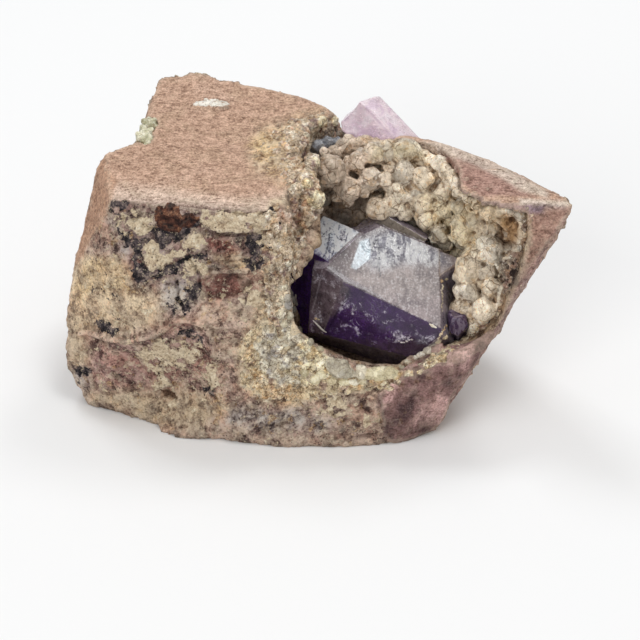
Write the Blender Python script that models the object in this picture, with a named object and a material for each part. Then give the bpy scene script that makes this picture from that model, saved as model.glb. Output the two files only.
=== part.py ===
"""Amethyst specimen: a trimmed block of reddish-brown volcanic rock with one open vug. A crust of
nodular quartz lines the vug, and smoky violet amethyst crystals stand in it.

Units are metres, +Z up. X runs along the block's length, Y from its front to its back. The block
rests on its flat base at Z = 0.
"""

import math
import random

import bmesh
import bpy
from mathutils import Matrix, Vector

MM = 0.001

# Driving dimensions, in millimetres.
TOP_FRONT_Z = 57.5  # height of the top face along its front edge
TOP_BACK_Z = 63.5  # height of the top face at the back
BASE_FRONT_Y = -31.5  # front edge of the base
VUG_FLOOR_Z = 16.0  # lowest point of the vug
FIT_GAP = 0.35  # clearance between touching pieces
CRUST = 2.6  # thickness of the nodular crust
R_FACE = math.radians(51.8)  # from the c axis to the normal of a rhombohedral face

random.seed(4049)


# --- Scene -------------------------------------------------------------------------------------
for old in list(bpy.data.objects):
    bpy.data.objects.remove(old, do_unlink=True)

parts = bpy.data.collections.new("amethyst_specimen")
cutters = bpy.data.collections.new("cutters")
cutters.hide_render = True
bpy.context.scene.collection.children.link(parts)
bpy.context.scene.collection.children.link(cutters)


def material(name, colour, rough, metallic=0.0, transmission=0.0):
    mat = bpy.data.materials.new(name)
    mat.use_nodes = True
    bsdf = mat.node_tree.nodes["Principled BSDF"]
    bsdf.inputs["Base Color"].default_value = (*colour, 1.0)
    bsdf.inputs["Roughness"].default_value = rough
    bsdf.inputs["Metallic"].default_value = metallic
    bsdf.inputs["Transmission Weight"].default_value = transmission
    bsdf.inputs["IOR"].default_value = 1.545
    mat.diffuse_color = (*colour, 1.0)
    return mat


ROCK = material("rock", (0.27, 0.16, 0.12), 0.9)
CREAM = material("cream_quartz", (0.56, 0.45, 0.29), 0.8)
AMETHYST = material("amethyst", (0.10, 0.05, 0.16), 0.12, transmission=0.9)
LILAC = material("lilac_quartz", (0.62, 0.44, 0.58), 0.2, transmission=0.8)
SIDE_VIOLET = material("side_violet", (0.08, 0.04, 0.12), 0.15, transmission=0.9)
GREY = material("grey_quartz", (0.42, 0.41, 0.38), 0.35)
BLUE_GREY = material("blue_grey_quartz", (0.40, 0.43, 0.47), 0.35)
LIP = material("lip_quartz", (0.66, 0.58, 0.44), 0.4)
NOTCH = material("notch_quartz", (0.50, 0.50, 0.38), 0.5)
WHITE = material("white_mineral", (0.75, 0.73, 0.70), 0.7)


# --- Tools for the shapes ----------------------------------------------------------------------
def new_object(name, bm, collection, mat=None):
    bmesh.ops.recalc_face_normals(bm, faces=bm.faces)
    mesh = bpy.data.meshes.new(name)
    bm.to_mesh(mesh)
    bm.free()
    obj = bpy.data.objects.new(name, mesh)
    collection.objects.link(obj)
    if collection is cutters:
        obj.hide_render = True
        obj.display_type = "WIRE"
    if mat is not None:
        mesh.materials.append(mat)
    return obj


def hull_bmesh(points):
    """The convex body with these corners, in millimetres."""
    bm = bmesh.new()
    for p in points:
        bm.verts.new(Vector(p) * MM)
    made = bmesh.ops.convex_hull(bm, input=bm.verts)
    inside = {e for e in made["geom_interior"] if isinstance(e, bmesh.types.BMVert)}
    inside |= {e for e in made["geom_unused"] if isinstance(e, bmesh.types.BMVert)}
    bmesh.ops.delete(bm, geom=list(inside), context="VERTS")
    return bm


def hull(name, points, collection=cutters, mat=None):
    return new_object(name, hull_bmesh(points), collection, mat)


def ball(name, centre, radii, turn=(0.0, 0.0, 0.0), detail=3, collection=cutters):
    bm = bmesh.new()
    bmesh.ops.create_icosphere(bm, subdivisions=detail, radius=1.0)
    place = (
        Matrix.Translation(Vector(centre) * MM)
        @ Matrix.Rotation(turn[2], 4, "Z")
        @ Matrix.Rotation(turn[1], 4, "Y")
        @ Matrix.Rotation(turn[0], 4, "X")
        @ Matrix.Diagonal((*(Vector(radii) * MM), 1.0))
    )
    bmesh.ops.transform(bm, matrix=place, verts=bm.verts)
    return new_object(name, bm, collection)


def boolean(target, other, operation, solver="EXACT"):
    """Applies the Boolean straight away, so that the next step works on its result."""
    mod = target.modifiers.new(operation.lower(), "BOOLEAN")
    mod.operation = operation
    mod.object = other
    mod.solver = solver
    graph = bpy.context.evaluated_depsgraph_get()
    mesh = bpy.data.meshes.new_from_object(target.evaluated_get(graph))
    target.modifiers.remove(mod)
    old = target.data
    target.data = mesh
    bpy.data.meshes.remove(old)
    return target


def drop(*objects):
    for obj in objects:
        bpy.data.objects.remove(obj, do_unlink=True)


def cut(bm, point, normal):
    """Cuts the closed body with a plane, throws away what is on the normal's side and fills."""
    got = bmesh.ops.bisect_plane(
        bm,
        geom=bm.verts[:] + bm.edges[:] + bm.faces[:],
        plane_co=Vector(point) * MM,
        plane_no=Vector(normal).normalized(),
        clear_outer=True,
        dist=1e-7,
    )
    edges = [e for e in got["geom_cut"] if isinstance(e, bmesh.types.BMEdge)]
    if edges:
        bmesh.ops.contextual_create(bm, geom=edges)


def block(size=400.0):
    bm = bmesh.new()
    bmesh.ops.create_cube(bm, size=size * MM)
    return bm


def polyhedron(name, planes, collection, mat=None):
    """The body inside all these planes, each a point on it and its outward normal."""
    bm = block()
    for point, normal in planes:
        cut(bm, point, normal)
    return new_object(name, bm, collection, mat)


def crystal(name, centre, faces, grow=0.0, collection=cutters, mat=None):
    """A crystal as the body inside its faces: outward normal and distance from the centre."""
    centre = Vector(centre)
    planes = []
    for nx, ny, nz, distance in faces:
        normal = Vector((nx, ny, nz)).normalized()
        planes.append((centre + normal * (distance + grow), normal))
    return polyhedron(name, planes, collection, mat)


def quartz_point(name, foot, axis, radius, length, turn=0.0, collection=cutters):
    """A six-sided quartz prism with a six-faced rhombohedral point."""
    axis = Vector(axis).normalized()
    side = axis.orthogonal().normalized()
    side.rotate(Matrix.Rotation(turn, 3, axis))
    foot = Vector(foot)
    planes = [(foot, -axis)]
    for k in range(6):
        out = side.copy()
        out.rotate(Matrix.Rotation(math.radians(60 * k), 3, axis))
        planes.append((foot + out * radius, out))
        slope = axis * math.cos(R_FACE) + out * math.sin(R_FACE)
        reach = length * (1.0 if k % 2 else 0.93)
        planes.append((foot + axis * reach, slope))
    return polyhedron(name, planes, collection)


def lump(name, centre, radius, rough=0.16, flat=1.0, detail=1):
    """A rounded, blocky nodule: an icosphere with its corners pushed in and out."""
    bm = bmesh.new()
    bmesh.ops.create_icosphere(bm, subdivisions=detail, radius=radius * MM)
    for v in bm.verts:
        v.co *= 1.0 + random.uniform(-rough, rough)
        v.co.z *= flat
    turn = Matrix.Rotation(random.uniform(0, 6.28), 4, "Z") @ Matrix.Rotation(
        random.uniform(0, 6.28), 4, "X"
    )
    bmesh.ops.transform(bm, matrix=turn, verts=bm.verts)
    bmesh.ops.translate(bm, vec=Vector(centre) * MM, verts=bm.verts)
    return new_object(name, bm, cutters)


def bodies_of(bm):
    """The separate closed bodies in a mesh, as lists of vertices."""
    left = set(bm.verts)
    found = []
    while left:
        body = []
        todo = [left.pop()]
        while todo:
            v = todo.pop()
            body.append(v)
            for e in v.link_edges:
                w = e.other_vert(v)
                if w in left:
                    left.remove(w)
                    todo.append(w)
        found.append(body)
    return found


def tidy(bm):
    """Closes hairline edges that Booleans leave, and keeps only the largest body."""
    bmesh.ops.remove_doubles(bm, verts=bm.verts, dist=0.00001)
    bmesh.ops.dissolve_degenerate(bm, edges=bm.edges, dist=0.00001)
    found = sorted(bodies_of(bm), key=len)
    for crumb in found[:-1]:
        bmesh.ops.delete(bm, geom=crumb, context="VERTS")
    bmesh.ops.triangulate(bm, faces=[f for f in bm.faces if len(f.verts) > 4])


def settle(obj, name, mat, collection=parts):
    """Gives the finished solid its name, its material and its place among the parts."""
    for c in list(obj.users_collection):
        c.objects.unlink(obj)
    collection.objects.link(obj)
    obj.name = name
    obj.data.name = name
    obj.hide_render = False
    obj.display_type = "TEXTURED"
    obj.data.materials.clear()
    obj.data.materials.append(mat)
    bm = bmesh.new()
    bm.from_mesh(obj.data)
    tidy(bm)
    for f in bm.faces:
        f.smooth = False
    bm.to_mesh(obj.data)
    bm.free()
    return obj


def copy_of(obj, name):
    twin = obj.copy()
    twin.data = obj.data.copy()
    twin.name = name
    cutters.objects.link(twin)
    for c in list(twin.users_collection):
        if c is not cutters:
            c.objects.unlink(twin)
    twin.hide_render = True
    return twin


# --- The block of rock -------------------------------------------------------------------------
# The thick left part, with the broad top face.
rock = hull(
    "rock",
    [
        (-49.0, -9.8, TOP_FRONT_Z - 0.5),
        (-30.5, -14.4, TOP_FRONT_Z),
        (-16.4, -17.0, TOP_FRONT_Z + 0.5),
        (-2.4, -14.5, TOP_FRONT_Z),
        (8.0, -13.0, 56.0),
        (5.4, 23.5, 60.0),
        (1.2, 27.3, 60.5),
        (-3.0, 30.4, 61.0),
        (-8.7, 31.6, 62.0),
        (-17.5, 34.6, TOP_BACK_Z),
        (-30.2, 38.3, TOP_BACK_Z + 0.5),
        (-40.2, 37.5, TOP_BACK_Z - 0.5),
        (-41.1, 26.2, 62.2),
        (-42.0, 20.5, 61.6),
        (-42.4, 13.0, 60.0),
        (-43.0, 4.0, 59.5),
        (-50.0, -13.5, 40.0),
        (-30.0, -20.5, 40.0),
        (-8.0, -22.5, 38.0),
        (-33.0, -25.5, 30.0),
        (-44.0, -22.2, 26.0),
        (-30.0, -27.0, 16.0),
        (-10.0, -29.5, 14.0),
        (-39.2, -27.1, 0.0),
        (-26.1, -29.1, 0.0),
        (-12.1, BASE_FRONT_Y - 0.3, 0.0),
        (4.0, BASE_FRONT_Y - 0.5, 0.0),
        (-46.0, 28.0, 0.0),
        (-30.0, 36.0, 0.0),
        (2.0, 32.0, 0.0),
        (-50.0, 22.0, 20.0),
        (-46.0, 30.0, 38.0),
        (-43.0, 38.0, 50.0),
        (-38.0, 43.0, 30.0),
        (-20.0, 42.5, 34.0),
        (2.0, 37.0, 30.0),
        (6.0, 29.0, 50.0),
    ],
)
# The lobe that sticks out at the left end, in front of the notch.
left_lobe = hull(
    "left_lobe",
    [
        (-51.9, 6.0, 60.0),
        (-48.1, 7.9, 60.2),
        (-43.5, 10.8, 60.5),
        (-49.5, -9.6, TOP_FRONT_Z - 0.5),
        (-53.6, 4.4, 57.0),
        (-54.5, -0.3, 48.0),
        (-55.8, -1.0, 44.0),
        (-59.3, -2.3, 36.0),
        (-61.2, -5.8, 28.0),
        (-62.7, -11.9, 10.6),
        (-61.8, -11.1, 7.0),
        (-58.0, -15.3, 0.0),
        (-48.7, -19.3, 0.0),
        (-40.4, -23.1, 0.0),
        (-36.0, -25.0, 29.5),
        (-44.2, -22.0, 24.8),
        (-51.5, -17.5, 20.4),
        (-40.3, -17.0, 44.3),
        (-30.0, 0.0, 57.0),
        (-30.0, 0.0, 0.0),
        (-51.0, 16.0, 0.0),
        (-40.0, 22.0, 0.0),
        (-56.0, 12.0, 14.0),
        (-55.0, 10.0, 34.0),
        (-50.0, 9.5, 50.0),
        (-40.0, 11.0, 54.0),
    ],
)
# The right part, drawn out to the overhanging tip.
right_block = hull(
    "right_block",
    [
        (59.0, -15.6, 59.4),
        (59.0, -16.5, 58.0),
        (48.6, -14.2, 59.6),
        (33.7, -12.5, 59.3),
        (15.0, -13.5, 58.6),
        (2.0, -14.0, 57.5),
        (23.8, 12.0, 60.0),
        (29.2, 11.2, 60.0),
        (33.8, 7.4, 60.0),
        (41.1, 6.0, 58.0),
        (48.1, 1.0, 56.4),
        (53.9, -2.9, 55.0),
        (56.0, -8.9, 56.2),
        (50.0, -18.6, 48.0),
        (44.0, -22.6, 38.0),
        (37.0, -26.4, 29.0),
        (30.0, -27.6, 22.0),
        (56.1, -13.5, 50.8),
        (53.7, -12.0, 44.2),
        (50.5, -12.0, 36.2),
        (46.0, -15.0, 29.4),
        (43.4, -18.0, 25.4),
        (36.7, -22.5, 17.5),
        (33.2, -24.0, 11.4),
        (29.2, -26.0, 3.8),
        (26.9, -26.6, 0.0),
        (18.2, -30.3, 0.0),
        (2.0, BASE_FRONT_Y - 0.8, 0.0),
        (-14.0, BASE_FRONT_Y, 0.0),
        (2.0, -28.6, 20.0),
        (20.0, -28.4, 20.0),
        (-8.0, 0.0, 0.0),
        (-6.0, 30.0, 0.0),
        (10.0, 30.0, 0.0),
        (26.0, 12.0, 0.0),
        (33.0, -8.0, 6.0),
        (30.0, 20.0, 18.0),
        (42.0, 11.0, 32.0),
        (49.0, 3.0, 44.0),
        (4.0, 34.0, 30.0),
        (14.0, 30.0, 44.0),
        (-6.0, 26.0, 52.0),
        (8.0, 26.5, 56.0),
    ],
)
boolean(rock, left_lobe, "UNION")
boolean(rock, right_block, "UNION")
drop(left_lobe, right_block)

# Conchoidal scars, where flakes came off: shallow cuts by large balls.
SCARS = (
    # centre, radii
    ((-53.0, -56.2, 14.5), (42.0, 38.5, 25.0)),  # under the curved step, lower left
    ((-34.0, -62.0, 24.0), (22.0, 38.0, 24.0)),  # its right end, where it arches up
    ((-22.0, 8.0, 150.0), (120.0, 120.0, 90.6)),  # the dished top face
    ((42.0, 1.5, 72.0), (15.0, 8.5, 14.2)),  # the inner facet behind the right rim
    ((-52.0, 60.0, 34.0), (28.0, 24.0, 34.0)),  # rear left
    ((28.0, 50.0, 28.0), (30.0, 26.0, 34.0)),  # rear right
    ((-14.0, 84.0, 26.0), (42.0, 44.0, 30.0)),  # the middle of the back
    ((-78.0, 10.0, 22.0), (22.0, 26.0, 22.0)),  # left end
    ((64.0, -46.0, 30.0), (26.0, 30.0, 30.0)),  # the right front face
)
for n, (centre, radii) in enumerate(SCARS):
    scar = ball(f"scar_{n}", centre, radii, turn=(0.05 * n, 0.1, 0.0), detail=4)
    boolean(rock, scar, "DIFFERENCE")
    drop(scar)

# --- The vug ------------------------------------------------------------------------------------
# The chamber behind the front face.
CHAMBER = [
    (-0.5, 17.0, 78.0),
    (-0.5, 17.0, 56.0),
    (12.0, 18.0, 78.0),
    (12.0, 17.5, 56.0),
    (25.0, 11.5, 78.0),
    (26.0, 11.5, 54.0),
    (31.5, -2.0, 78.0),
    (31.5, -16.0, 78.0),
    (0.0, -20.0, 78.0),
    (-2.0, -20.0, 50.0),
    (-9.5, 0.0, 40.0),
    (-10.0, -18.5, 38.0),
    (-9.0, -8.0, 28.0),
    (-5.0, -20.0, 22.0),
    (8.0, -21.5, VUG_FLOOR_Z - 2.0),
    (22.0, -21.5, VUG_FLOOR_Z - 3.0),
    (34.0, -19.5, VUG_FLOOR_Z + 3.0),
    (36.0, -6.0, VUG_FLOOR_Z + 2.0),
    (28.0, 2.0, VUG_FLOOR_Z + 1.0),
    (2.0, 4.0, VUG_FLOOR_Z + 3.0),
    (1.0, 11.0, 44.0),
    (14.0, 10.5, 44.0),
    (27.0, 8.0, 44.0),
    (34.0, 3.0, 44.0),
    (31.5, 7.0, 54.0),
    (4.0, 6.5, 32.0),
    (22.0, 5.5, 32.0),
    (36.0, -1.0, 34.0),
]
# Its mouth in the front face and the top.
MOUTH = [
    (x, y, z)
    for y in (-45.0, -12.0)
    for x, z in (
        (0.3, 78.0),
        (-1.0, 52.0),
        (-4.0, 48.3),
        (-7.1, 42.8),
        (-7.1, 38.4),
        (-5.5, 31.1),
        (-1.4, 25.2),
        (8.4, 21.2),
        (18.7, 20.7),
        (24.2, 21.5),
        (30.3, 25.0),
        (33.0, 29.0),
        (33.0, 78.0),
    )
]
RIGHT_LOBE = [
    (28.0, -45.0, 25.5),
    (33.5, -45.0, 28.0),
    (41.5, -45.0, 32.5),
    (43.0, -45.0, 42.0),
    (48.0, -45.0, 51.4),
    (48.0, -45.0, 57.2),
    (28.0, -45.0, 57.2),
    (48.6, -14.0, 56.8),
    (49.3, -11.0, 50.0),
    (46.5, -3.5, 52.5),
    (46.0, -8.0, 43.0),
    (44.0, -14.5, 32.5),
    (42.5, -14.0, 27.0),
    (38.0, -14.0, 22.5),
    (30.0, -4.0, 20.0),
    (40.0, -4.0, 33.0),
    (34.0, 5.5, 42.0),
    (31.0, 8.5, 54.0),
    (42.0, 1.0, 52.5),
    (31.0, -12.0, 60.0),
]
REAR_POCKET = ((14.0, 23.0, 62.0), (12.0, 7.5, 14.0))
LEFT_HOLLOW = ((2.5, 15.0, 57.5), (6.0, 7.5, 7.0))


def shrunk(points, by):
    """The same hull with every corner drawn in towards the middle by a set distance."""
    middle = sum((Vector(p) for p in points), Vector()) / len(points)
    return [tuple(Vector(p) + (middle - Vector(p)).normalized() * by) for p in points]


def vug_body(name, by):
    body = hull(name, shrunk(CHAMBER, by))
    for n, corners in enumerate((MOUTH, RIGHT_LOBE)):
        more = hull(f"{name}_{n}", shrunk(corners, by))
        boolean(body, more, "UNION")
        drop(more)
    return body


envelope = copy_of(rock, "envelope")
vug = vug_body("vug", 0.0)
boolean(rock, vug, "DIFFERENCE")
for n, (centre, radii) in enumerate((REAR_POCKET, LEFT_HOLLOW)):
    hollow = ball(f"hollow_{n}", centre, radii, detail=3)
    boolean(rock, hollow, "DIFFERENCE")
    drop(hollow)

# --- The crystals -------------------------------------------------------------------------------
# Each face: outward normal and distance from the crystal's middle, in millimetres.
MAIN_MIDDLE = (14.0, -9.0, 28.0)
LARGE_AMETHYST = (
    (0.100, -0.497, 0.862, 10.57),  # broad upper face
    (-0.320, -0.945, 0.072, 9.87),  # front prism face
    (-0.485, -0.865, 0.126, 11.20),  # front left face
    (0.368, 0.465, 0.806, 16.60),  # upper back, right
    (-0.334, 0.263, 0.905, 16.25),  # upper back, left
    (-0.401, -0.034, 0.916, 15.69),  # left shoulder
    (-0.985, 0.165, 0.049, 15.64),  # left end
    (0.320, 0.945, -0.072, 9.60),  # back prism face
    (-0.100, 0.497, -0.862, 10.80),  # underside
    (0.760, 0.330, -0.560, 15.50),  # rear lower right, where it grows from the wall
    (-0.309, -0.772, -0.555, 12.63),  # lower front bevel
    (0.944, -0.162, 0.287, 16.95),  # right end
    (0.449, -0.750, -0.485, 18.34),  # lower right end
)
UPPER_STEP = (
    (0.100, -0.497, 0.862, 10.27),
    (0.368, 0.465, 0.806, 16.25),
    (0.901, -0.089, 0.424, 21.50),
    (0.622, -0.755, -0.208, 9.55),
    (0.320, 0.945, -0.072, 8.60),
    (-0.100, 0.497, -0.862, 1.43),
    (-0.898, 0.327, 0.293, -1.55),
    (-0.320, -0.945, 0.072, 6.00),
)
LEFT_COMPANION = (
    (-0.205, -0.230, 0.951, 14.49),  # bright upper face
    (0.100, -0.497, 0.862, 10.27),
    (-0.691, -0.701, 0.175, 11.99),  # dark front face
    (0.429, 0.515, 0.742, 12.44),  # ridge
    (-0.802, 0.220, 0.556, 21.97),
    (-0.872, 0.251, 0.420, 21.56),
    (-0.936, 0.128, -0.328, 20.46),
    (-0.309, -0.772, -0.555, 12.20),
    (-0.100, 0.497, -0.862, 9.43),
    (0.898, -0.327, -0.293, -8.95),
    (0.320, 0.945, -0.072, 9.20),
)
REAR_COMPANION = (
    (-0.121, -0.751, 0.649, 1.48),  # dark front face
    (0.219, -0.266, 0.939, 12.57),  # bright end face
    (-0.357, 0.350, 0.866, 17.02),
    (0.404, 0.133, 0.905, 17.12),
    (0.503, 0.629, 0.593, 19.60),
    (-0.954, 0.247, -0.173, 5.69),
    (0.796, -0.261, -0.546, 1.02),
    (0.000, 0.819, -0.574, 8.20),
    (0.000, -0.574, -0.819, -6.78),
)
AMETHYST_HABIT = (LARGE_AMETHYST, UPPER_STEP, LEFT_COMPANION, REAR_COMPANION)

LILAC_MIDDLE = (14.7, 18.6, 61.1)
LILAC_HABIT = (
    (-0.330, -0.847, 0.416, 0.00),
    (0.393, -0.363, 0.845, 0.00),
    (-0.746, -0.487, -0.455, 6.82),
    (0.746, 0.487, 0.455, 4.20),
    (0.330, 0.847, -0.416, 8.86),
    (-0.393, 0.363, -0.845, 7.04),
    (-0.767, 0.261, 0.586, 6.41),
    (-0.232, 0.740, 0.632, 6.07),
    (-0.992, -0.069, -0.105, 8.44),
    (0.666, -0.521, -0.534, 10.50),
)
SIDE_FOOT, SIDE_AXIS = (33.4, -13.0, 21.5), (-0.12, -0.62, 0.70)


def amethysts(name, grow):
    bodies = [crystal(f"{name}_{n}", MAIN_MIDDLE, faces, grow) for n, faces in enumerate(AMETHYST_HABIT)]
    for other in bodies[1:]:
        boolean(bodies[0], other, "UNION")
        drop(other)
    return bodies[0]


def side_crystal(name, grow):
    return quartz_point(name, Vector(SIDE_FOOT) - Vector(SIDE_AXIS) * grow, SIDE_AXIS, 3.0 + grow, 11.5 + 2 * grow, 0.3)


# --- The nodular crust --------------------------------------------------------------------------
# Middle and radius of each large nodule on the vug's rear and right walls.
NODULES = (
    (2.8, 8.0, 54.5, 3.5),
    (6.8, 6.5, 49.3, 2.9),
    (9.3, 11.0, 54.7, 2.5),
    (12.9, 11.9, 56.6, 2.5),
    (16.6, 12.7, 56.6, 2.7),
    (20.6, 11.3, 57.0, 2.7),
    (12.4, 8.0, 51.7, 2.5),
    (10.5, 7.4, 49.5, 1.9),
    (16.1, 7.6, 51.5, 2.0),
    (20.6, 8.5, 52.8, 2.7),
    (25.0, 6.0, 52.5, 2.7),
    (19.4, 5.9, 48.3, 3.0),
    (14.2, 5.8, 44.9, 2.7),
    (19.6, 5.2, 44.9, 2.4),
    (25.0, 3.7, 47.2, 2.5),
    (25.9, 3.0, 43.7, 2.5),
    (30.2, 3.6, 46.4, 3.0),
    (29.8, 3.8, 50.0, 2.2),
    (34.4, -0.4, 48.6, 2.4),
    (29.5, 0.8, 40.5, 2.2),
    (34.6, -1.9, 42.3, 2.7),
    (37.6, -2.8, 46.7, 2.3),
    (37.8, -3.6, 41.5, 2.0),
    (40.2, -3.6, 50.0, 2.4),
    (43.3, -7.9, 52.5, 2.4),
    (41.0, -9.0, 42.1, 3.5),
    (36.9, -7.1, 38.9, 2.5),
    (46.0, -10.8, 48.7, 2.2),
    (46.1, -9.8, 42.7, 2.2),
    (36.2, -9.0, 35.8, 3.5),
    (40.4, -10.7, 36.5, 2.3),
    (36.7, -11.6, 31.2, 3.1),
    (41.1, -14.0, 34.5, 2.2),
    (36.4, -13.9, 27.6, 2.8),
    (40.0, -14.6, 28.8, 3.1),
    (7.6, 5.4, 44.6, 2.2),
    (33.9, -1.2, 45.4, 2.1),
    (42.3, -6.2, 46.9, 2.3),
)
crust = vug_body("crust", FIT_GAP)
inner = vug_body("inner", FIT_GAP + CRUST)
boolean(crust, inner, "DIFFERENCE")
drop(inner)
# The crust covers the rear and right walls and the floor. It ends inside the mouth and, on the
# left, against the large crystal.
limit = hull(
    "limit",
    [
        (0.5, 60.0, 0.0),
        (80.0, 60.0, 0.0),
        (0.5, 60.0, 58.0),
        (80.0, 60.0, 57.0),
        (0.5, -20.5, 0.0),
        (80.0, -20.5, 0.0),
        (0.5, -14.0, 55.8),
        (80.0, -14.0, 55.8),
        (0.5, 10.0, 58.0),
        (80.0, 10.0, 57.0),
    ],
)
boolean(crust, limit, "INTERSECT")
drop(limit)
nodules = [lump(f"nodule_{n}", (x, y - 0.6, z), r * 1.22) for n, (x, y, z, r) in enumerate(NODULES)]
heap = nodules[0]
for other in nodules[1:]:
    boolean(heap, other, "UNION")
    drop(other)
room = vug_body("room", FIT_GAP)
boolean(heap, room, "INTERSECT")
drop(room)
boolean(crust, heap, "UNION")
drop(heap)
gap_view = ball("gap_view", (2.0, 13.0, 61.0), (6.0, 9.0, 6.0))
boolean(crust, gap_view, "DIFFERENCE")
drop(gap_view)

# --- Sockets where the crystals grow out of the crust and the rock -------------------------------
amethyst_space = amethysts("amethyst_space", FIT_GAP)
lilac_space = crystal("lilac_space", LILAC_MIDDLE, LILAC_HABIT, FIT_GAP)
side_space = side_crystal("side_space", FIT_GAP)
for body in (rock, crust):
    for space in (amethyst_space, lilac_space, side_space):
        boolean(body, space, "DIFFERENCE")

amethyst = settle(amethysts("amethyst", 0.0), "amethyst_cluster", AMETHYST)
lilac = settle(crystal("lilac", LILAC_MIDDLE, LILAC_HABIT), "lilac_amethyst", LILAC)
side = side_crystal("side", 0.0)
boolean(side, amethyst_space, "DIFFERENCE")
side = settle(side, "violet_side_crystal", SIDE_VIOLET)

# --- The small pieces ---------------------------------------------------------------------------
RIM_LUMPS = (
    (-8.2, -19.6, 36.6, 1.7),
    (-8.6, -20.4, 34.2, 2.0),
    (-8.0, -20.9, 31.6, 1.8),
)
LIP_LUMPS = (
    (0.4, -22.8, 23.6, 2.0),
    (3.2, -23.6, 22.0, 2.4),
    (6.4, -24.3, 20.9, 2.4),
    (9.8, -25.2, 20.4, 2.3),
    (13.2, -25.6, 20.2, 2.3),
    (16.6, -25.8, 20.2, 2.3),
    (20.0, -26.0, 20.2, 2.2),
    (23.2, -26.0, 20.8, 2.1),
    (26.2, -25.8, 22.0, 2.0),
    (29.0, -25.4, 23.8, 1.9),
)
HOLLOW_POINTS = (
    ((-1.0, 18.0, 53.5), (0.35, -0.55, 0.75), 1.7, 5.2),
    ((2.0, 20.0, 53.0), (0.05, -0.60, 0.80), 1.9, 5.6),
    ((4.6, 20.3, 53.6), (-0.25, -0.65, 0.70), 1.5, 4.4),
    ((0.6, 19.4, 51.6), (0.15, -0.80, 0.55), 1.6, 4.8),
    ((3.2, 19.6, 50.9), (-0.10, -0.85, 0.45), 1.5, 4.2),
)
NOTCH_POINTS = (
    ((-41.6, 11.2, 57.0), (-0.45, 0.10, 0.88), 1.6, 5.0),
    ((-41.4, 13.4, 57.4), (-0.60, 0.05, 0.78), 1.8, 5.2),
    ((-41.0, 16.0, 57.8), (-0.50, -0.15, 0.85), 1.6, 5.0),
    ((-40.6, 18.6, 58.6), (-0.62, -0.10, 0.75), 1.7, 4.6),
)
AMYGDULE = ((-27.0, 26.5, 61.2), (4.7, 2.0, 2.4))  # middle and radii of the filled bubble


def lumps(name, table, grow, flat=0.9):
    """Overlapping lumps as one body; the same random shapes each time, so that sockets fit."""
    state = random.getstate()
    random.seed(name.split(".")[0])
    bodies = []
    for n, (x, y, z, r) in enumerate(table):
        bodies.append(lump(f"{name}_{n}", (x, y, z), r + grow, rough=0.14))
    random.setstate(state)
    for other in bodies[1:]:
        boolean(bodies[0], other, "UNION")
        drop(other)
    return bodies[0]


def points(name, table, grow):
    bodies = [
        quartz_point(f"{name}_{n}", Vector(foot) - Vector(axis).normalized() * grow, axis, r + grow, length + 2 * grow, 0.4 * n)
        for n, (foot, axis, r, length) in enumerate(table)
    ]
    for other in bodies[1:]:
        boolean(bodies[0], other, "UNION")
        drop(other)
    return bodies[0]


SMALL = (
    ("grey_quartz_rim", lambda name, grow: lumps(name, RIM_LUMPS, grow), GREY),
    ("lip_quartz", lambda name, grow: lumps(name, LIP_LUMPS, grow), LIP),
    ("hollow_druse", lambda name, grow: points(name, HOLLOW_POINTS, grow), BLUE_GREY),
    ("notch_quartz", lambda name, grow: points(name, NOTCH_POINTS, grow), NOTCH),
    ("white_amygdule", lambda name, grow: ball(name, AMYGDULE[0], Vector(AMYGDULE[1]) + Vector((grow, grow, grow)), turn=(0.12, 0.02, 0.05), detail=2), WHITE),
)
finished = []
for name, make, mat in SMALL:
    socket = make(name + ".socket", FIT_GAP)
    boolean(rock, socket, "DIFFERENCE")
    boolean(crust, socket, "DIFFERENCE")
    piece = make(name + ".piece", 0.0)
    for space in (amethyst_space, lilac_space, side_space):
        boolean(piece, space, "DIFFERENCE")
    finished.append((piece, name, mat))
    drop(socket)

# The amygdule is broken off level with the top face.
skin = copy_of(envelope, "skin")
for piece, name, mat in finished:
    if name == "white_amygdule":
        boolean(piece, skin, "INTERSECT")
    settle(piece, name, mat)
drop(skin, envelope, vug, amethyst_space, lilac_space, side_space)

settle(rock, "matrix_rock", ROCK)
settle(crust, "nodular_lining", CREAM)
bpy.context.view_layer.update()
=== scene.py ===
"""Amethyst specimen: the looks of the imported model. A trimmed block of reddish-brown volcanic rock
with an open vug, a crust of nodular quartz on the vug's walls, and smoky violet amethyst crystals.

Shapes are worked out in millimetres and written in metres, in the frame's own axes.
"""

import math

import bmesh
import bpy
import numpy as np
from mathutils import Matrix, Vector
from mathutils.bvhtree import BVHTree


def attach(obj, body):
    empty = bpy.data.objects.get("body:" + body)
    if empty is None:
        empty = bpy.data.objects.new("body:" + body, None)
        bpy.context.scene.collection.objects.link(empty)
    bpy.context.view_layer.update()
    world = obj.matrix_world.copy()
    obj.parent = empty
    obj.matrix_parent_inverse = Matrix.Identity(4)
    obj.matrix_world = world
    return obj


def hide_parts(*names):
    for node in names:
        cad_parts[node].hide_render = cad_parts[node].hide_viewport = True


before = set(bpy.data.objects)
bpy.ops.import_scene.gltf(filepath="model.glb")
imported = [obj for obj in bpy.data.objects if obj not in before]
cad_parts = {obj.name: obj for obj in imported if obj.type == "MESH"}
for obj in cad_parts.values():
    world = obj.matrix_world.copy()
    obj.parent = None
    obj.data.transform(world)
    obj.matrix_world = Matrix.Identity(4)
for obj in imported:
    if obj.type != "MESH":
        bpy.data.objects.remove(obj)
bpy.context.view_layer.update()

MM = 0.001
ROCK_VOXEL = 0.66
LINING_VOXEL = 0.38

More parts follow.
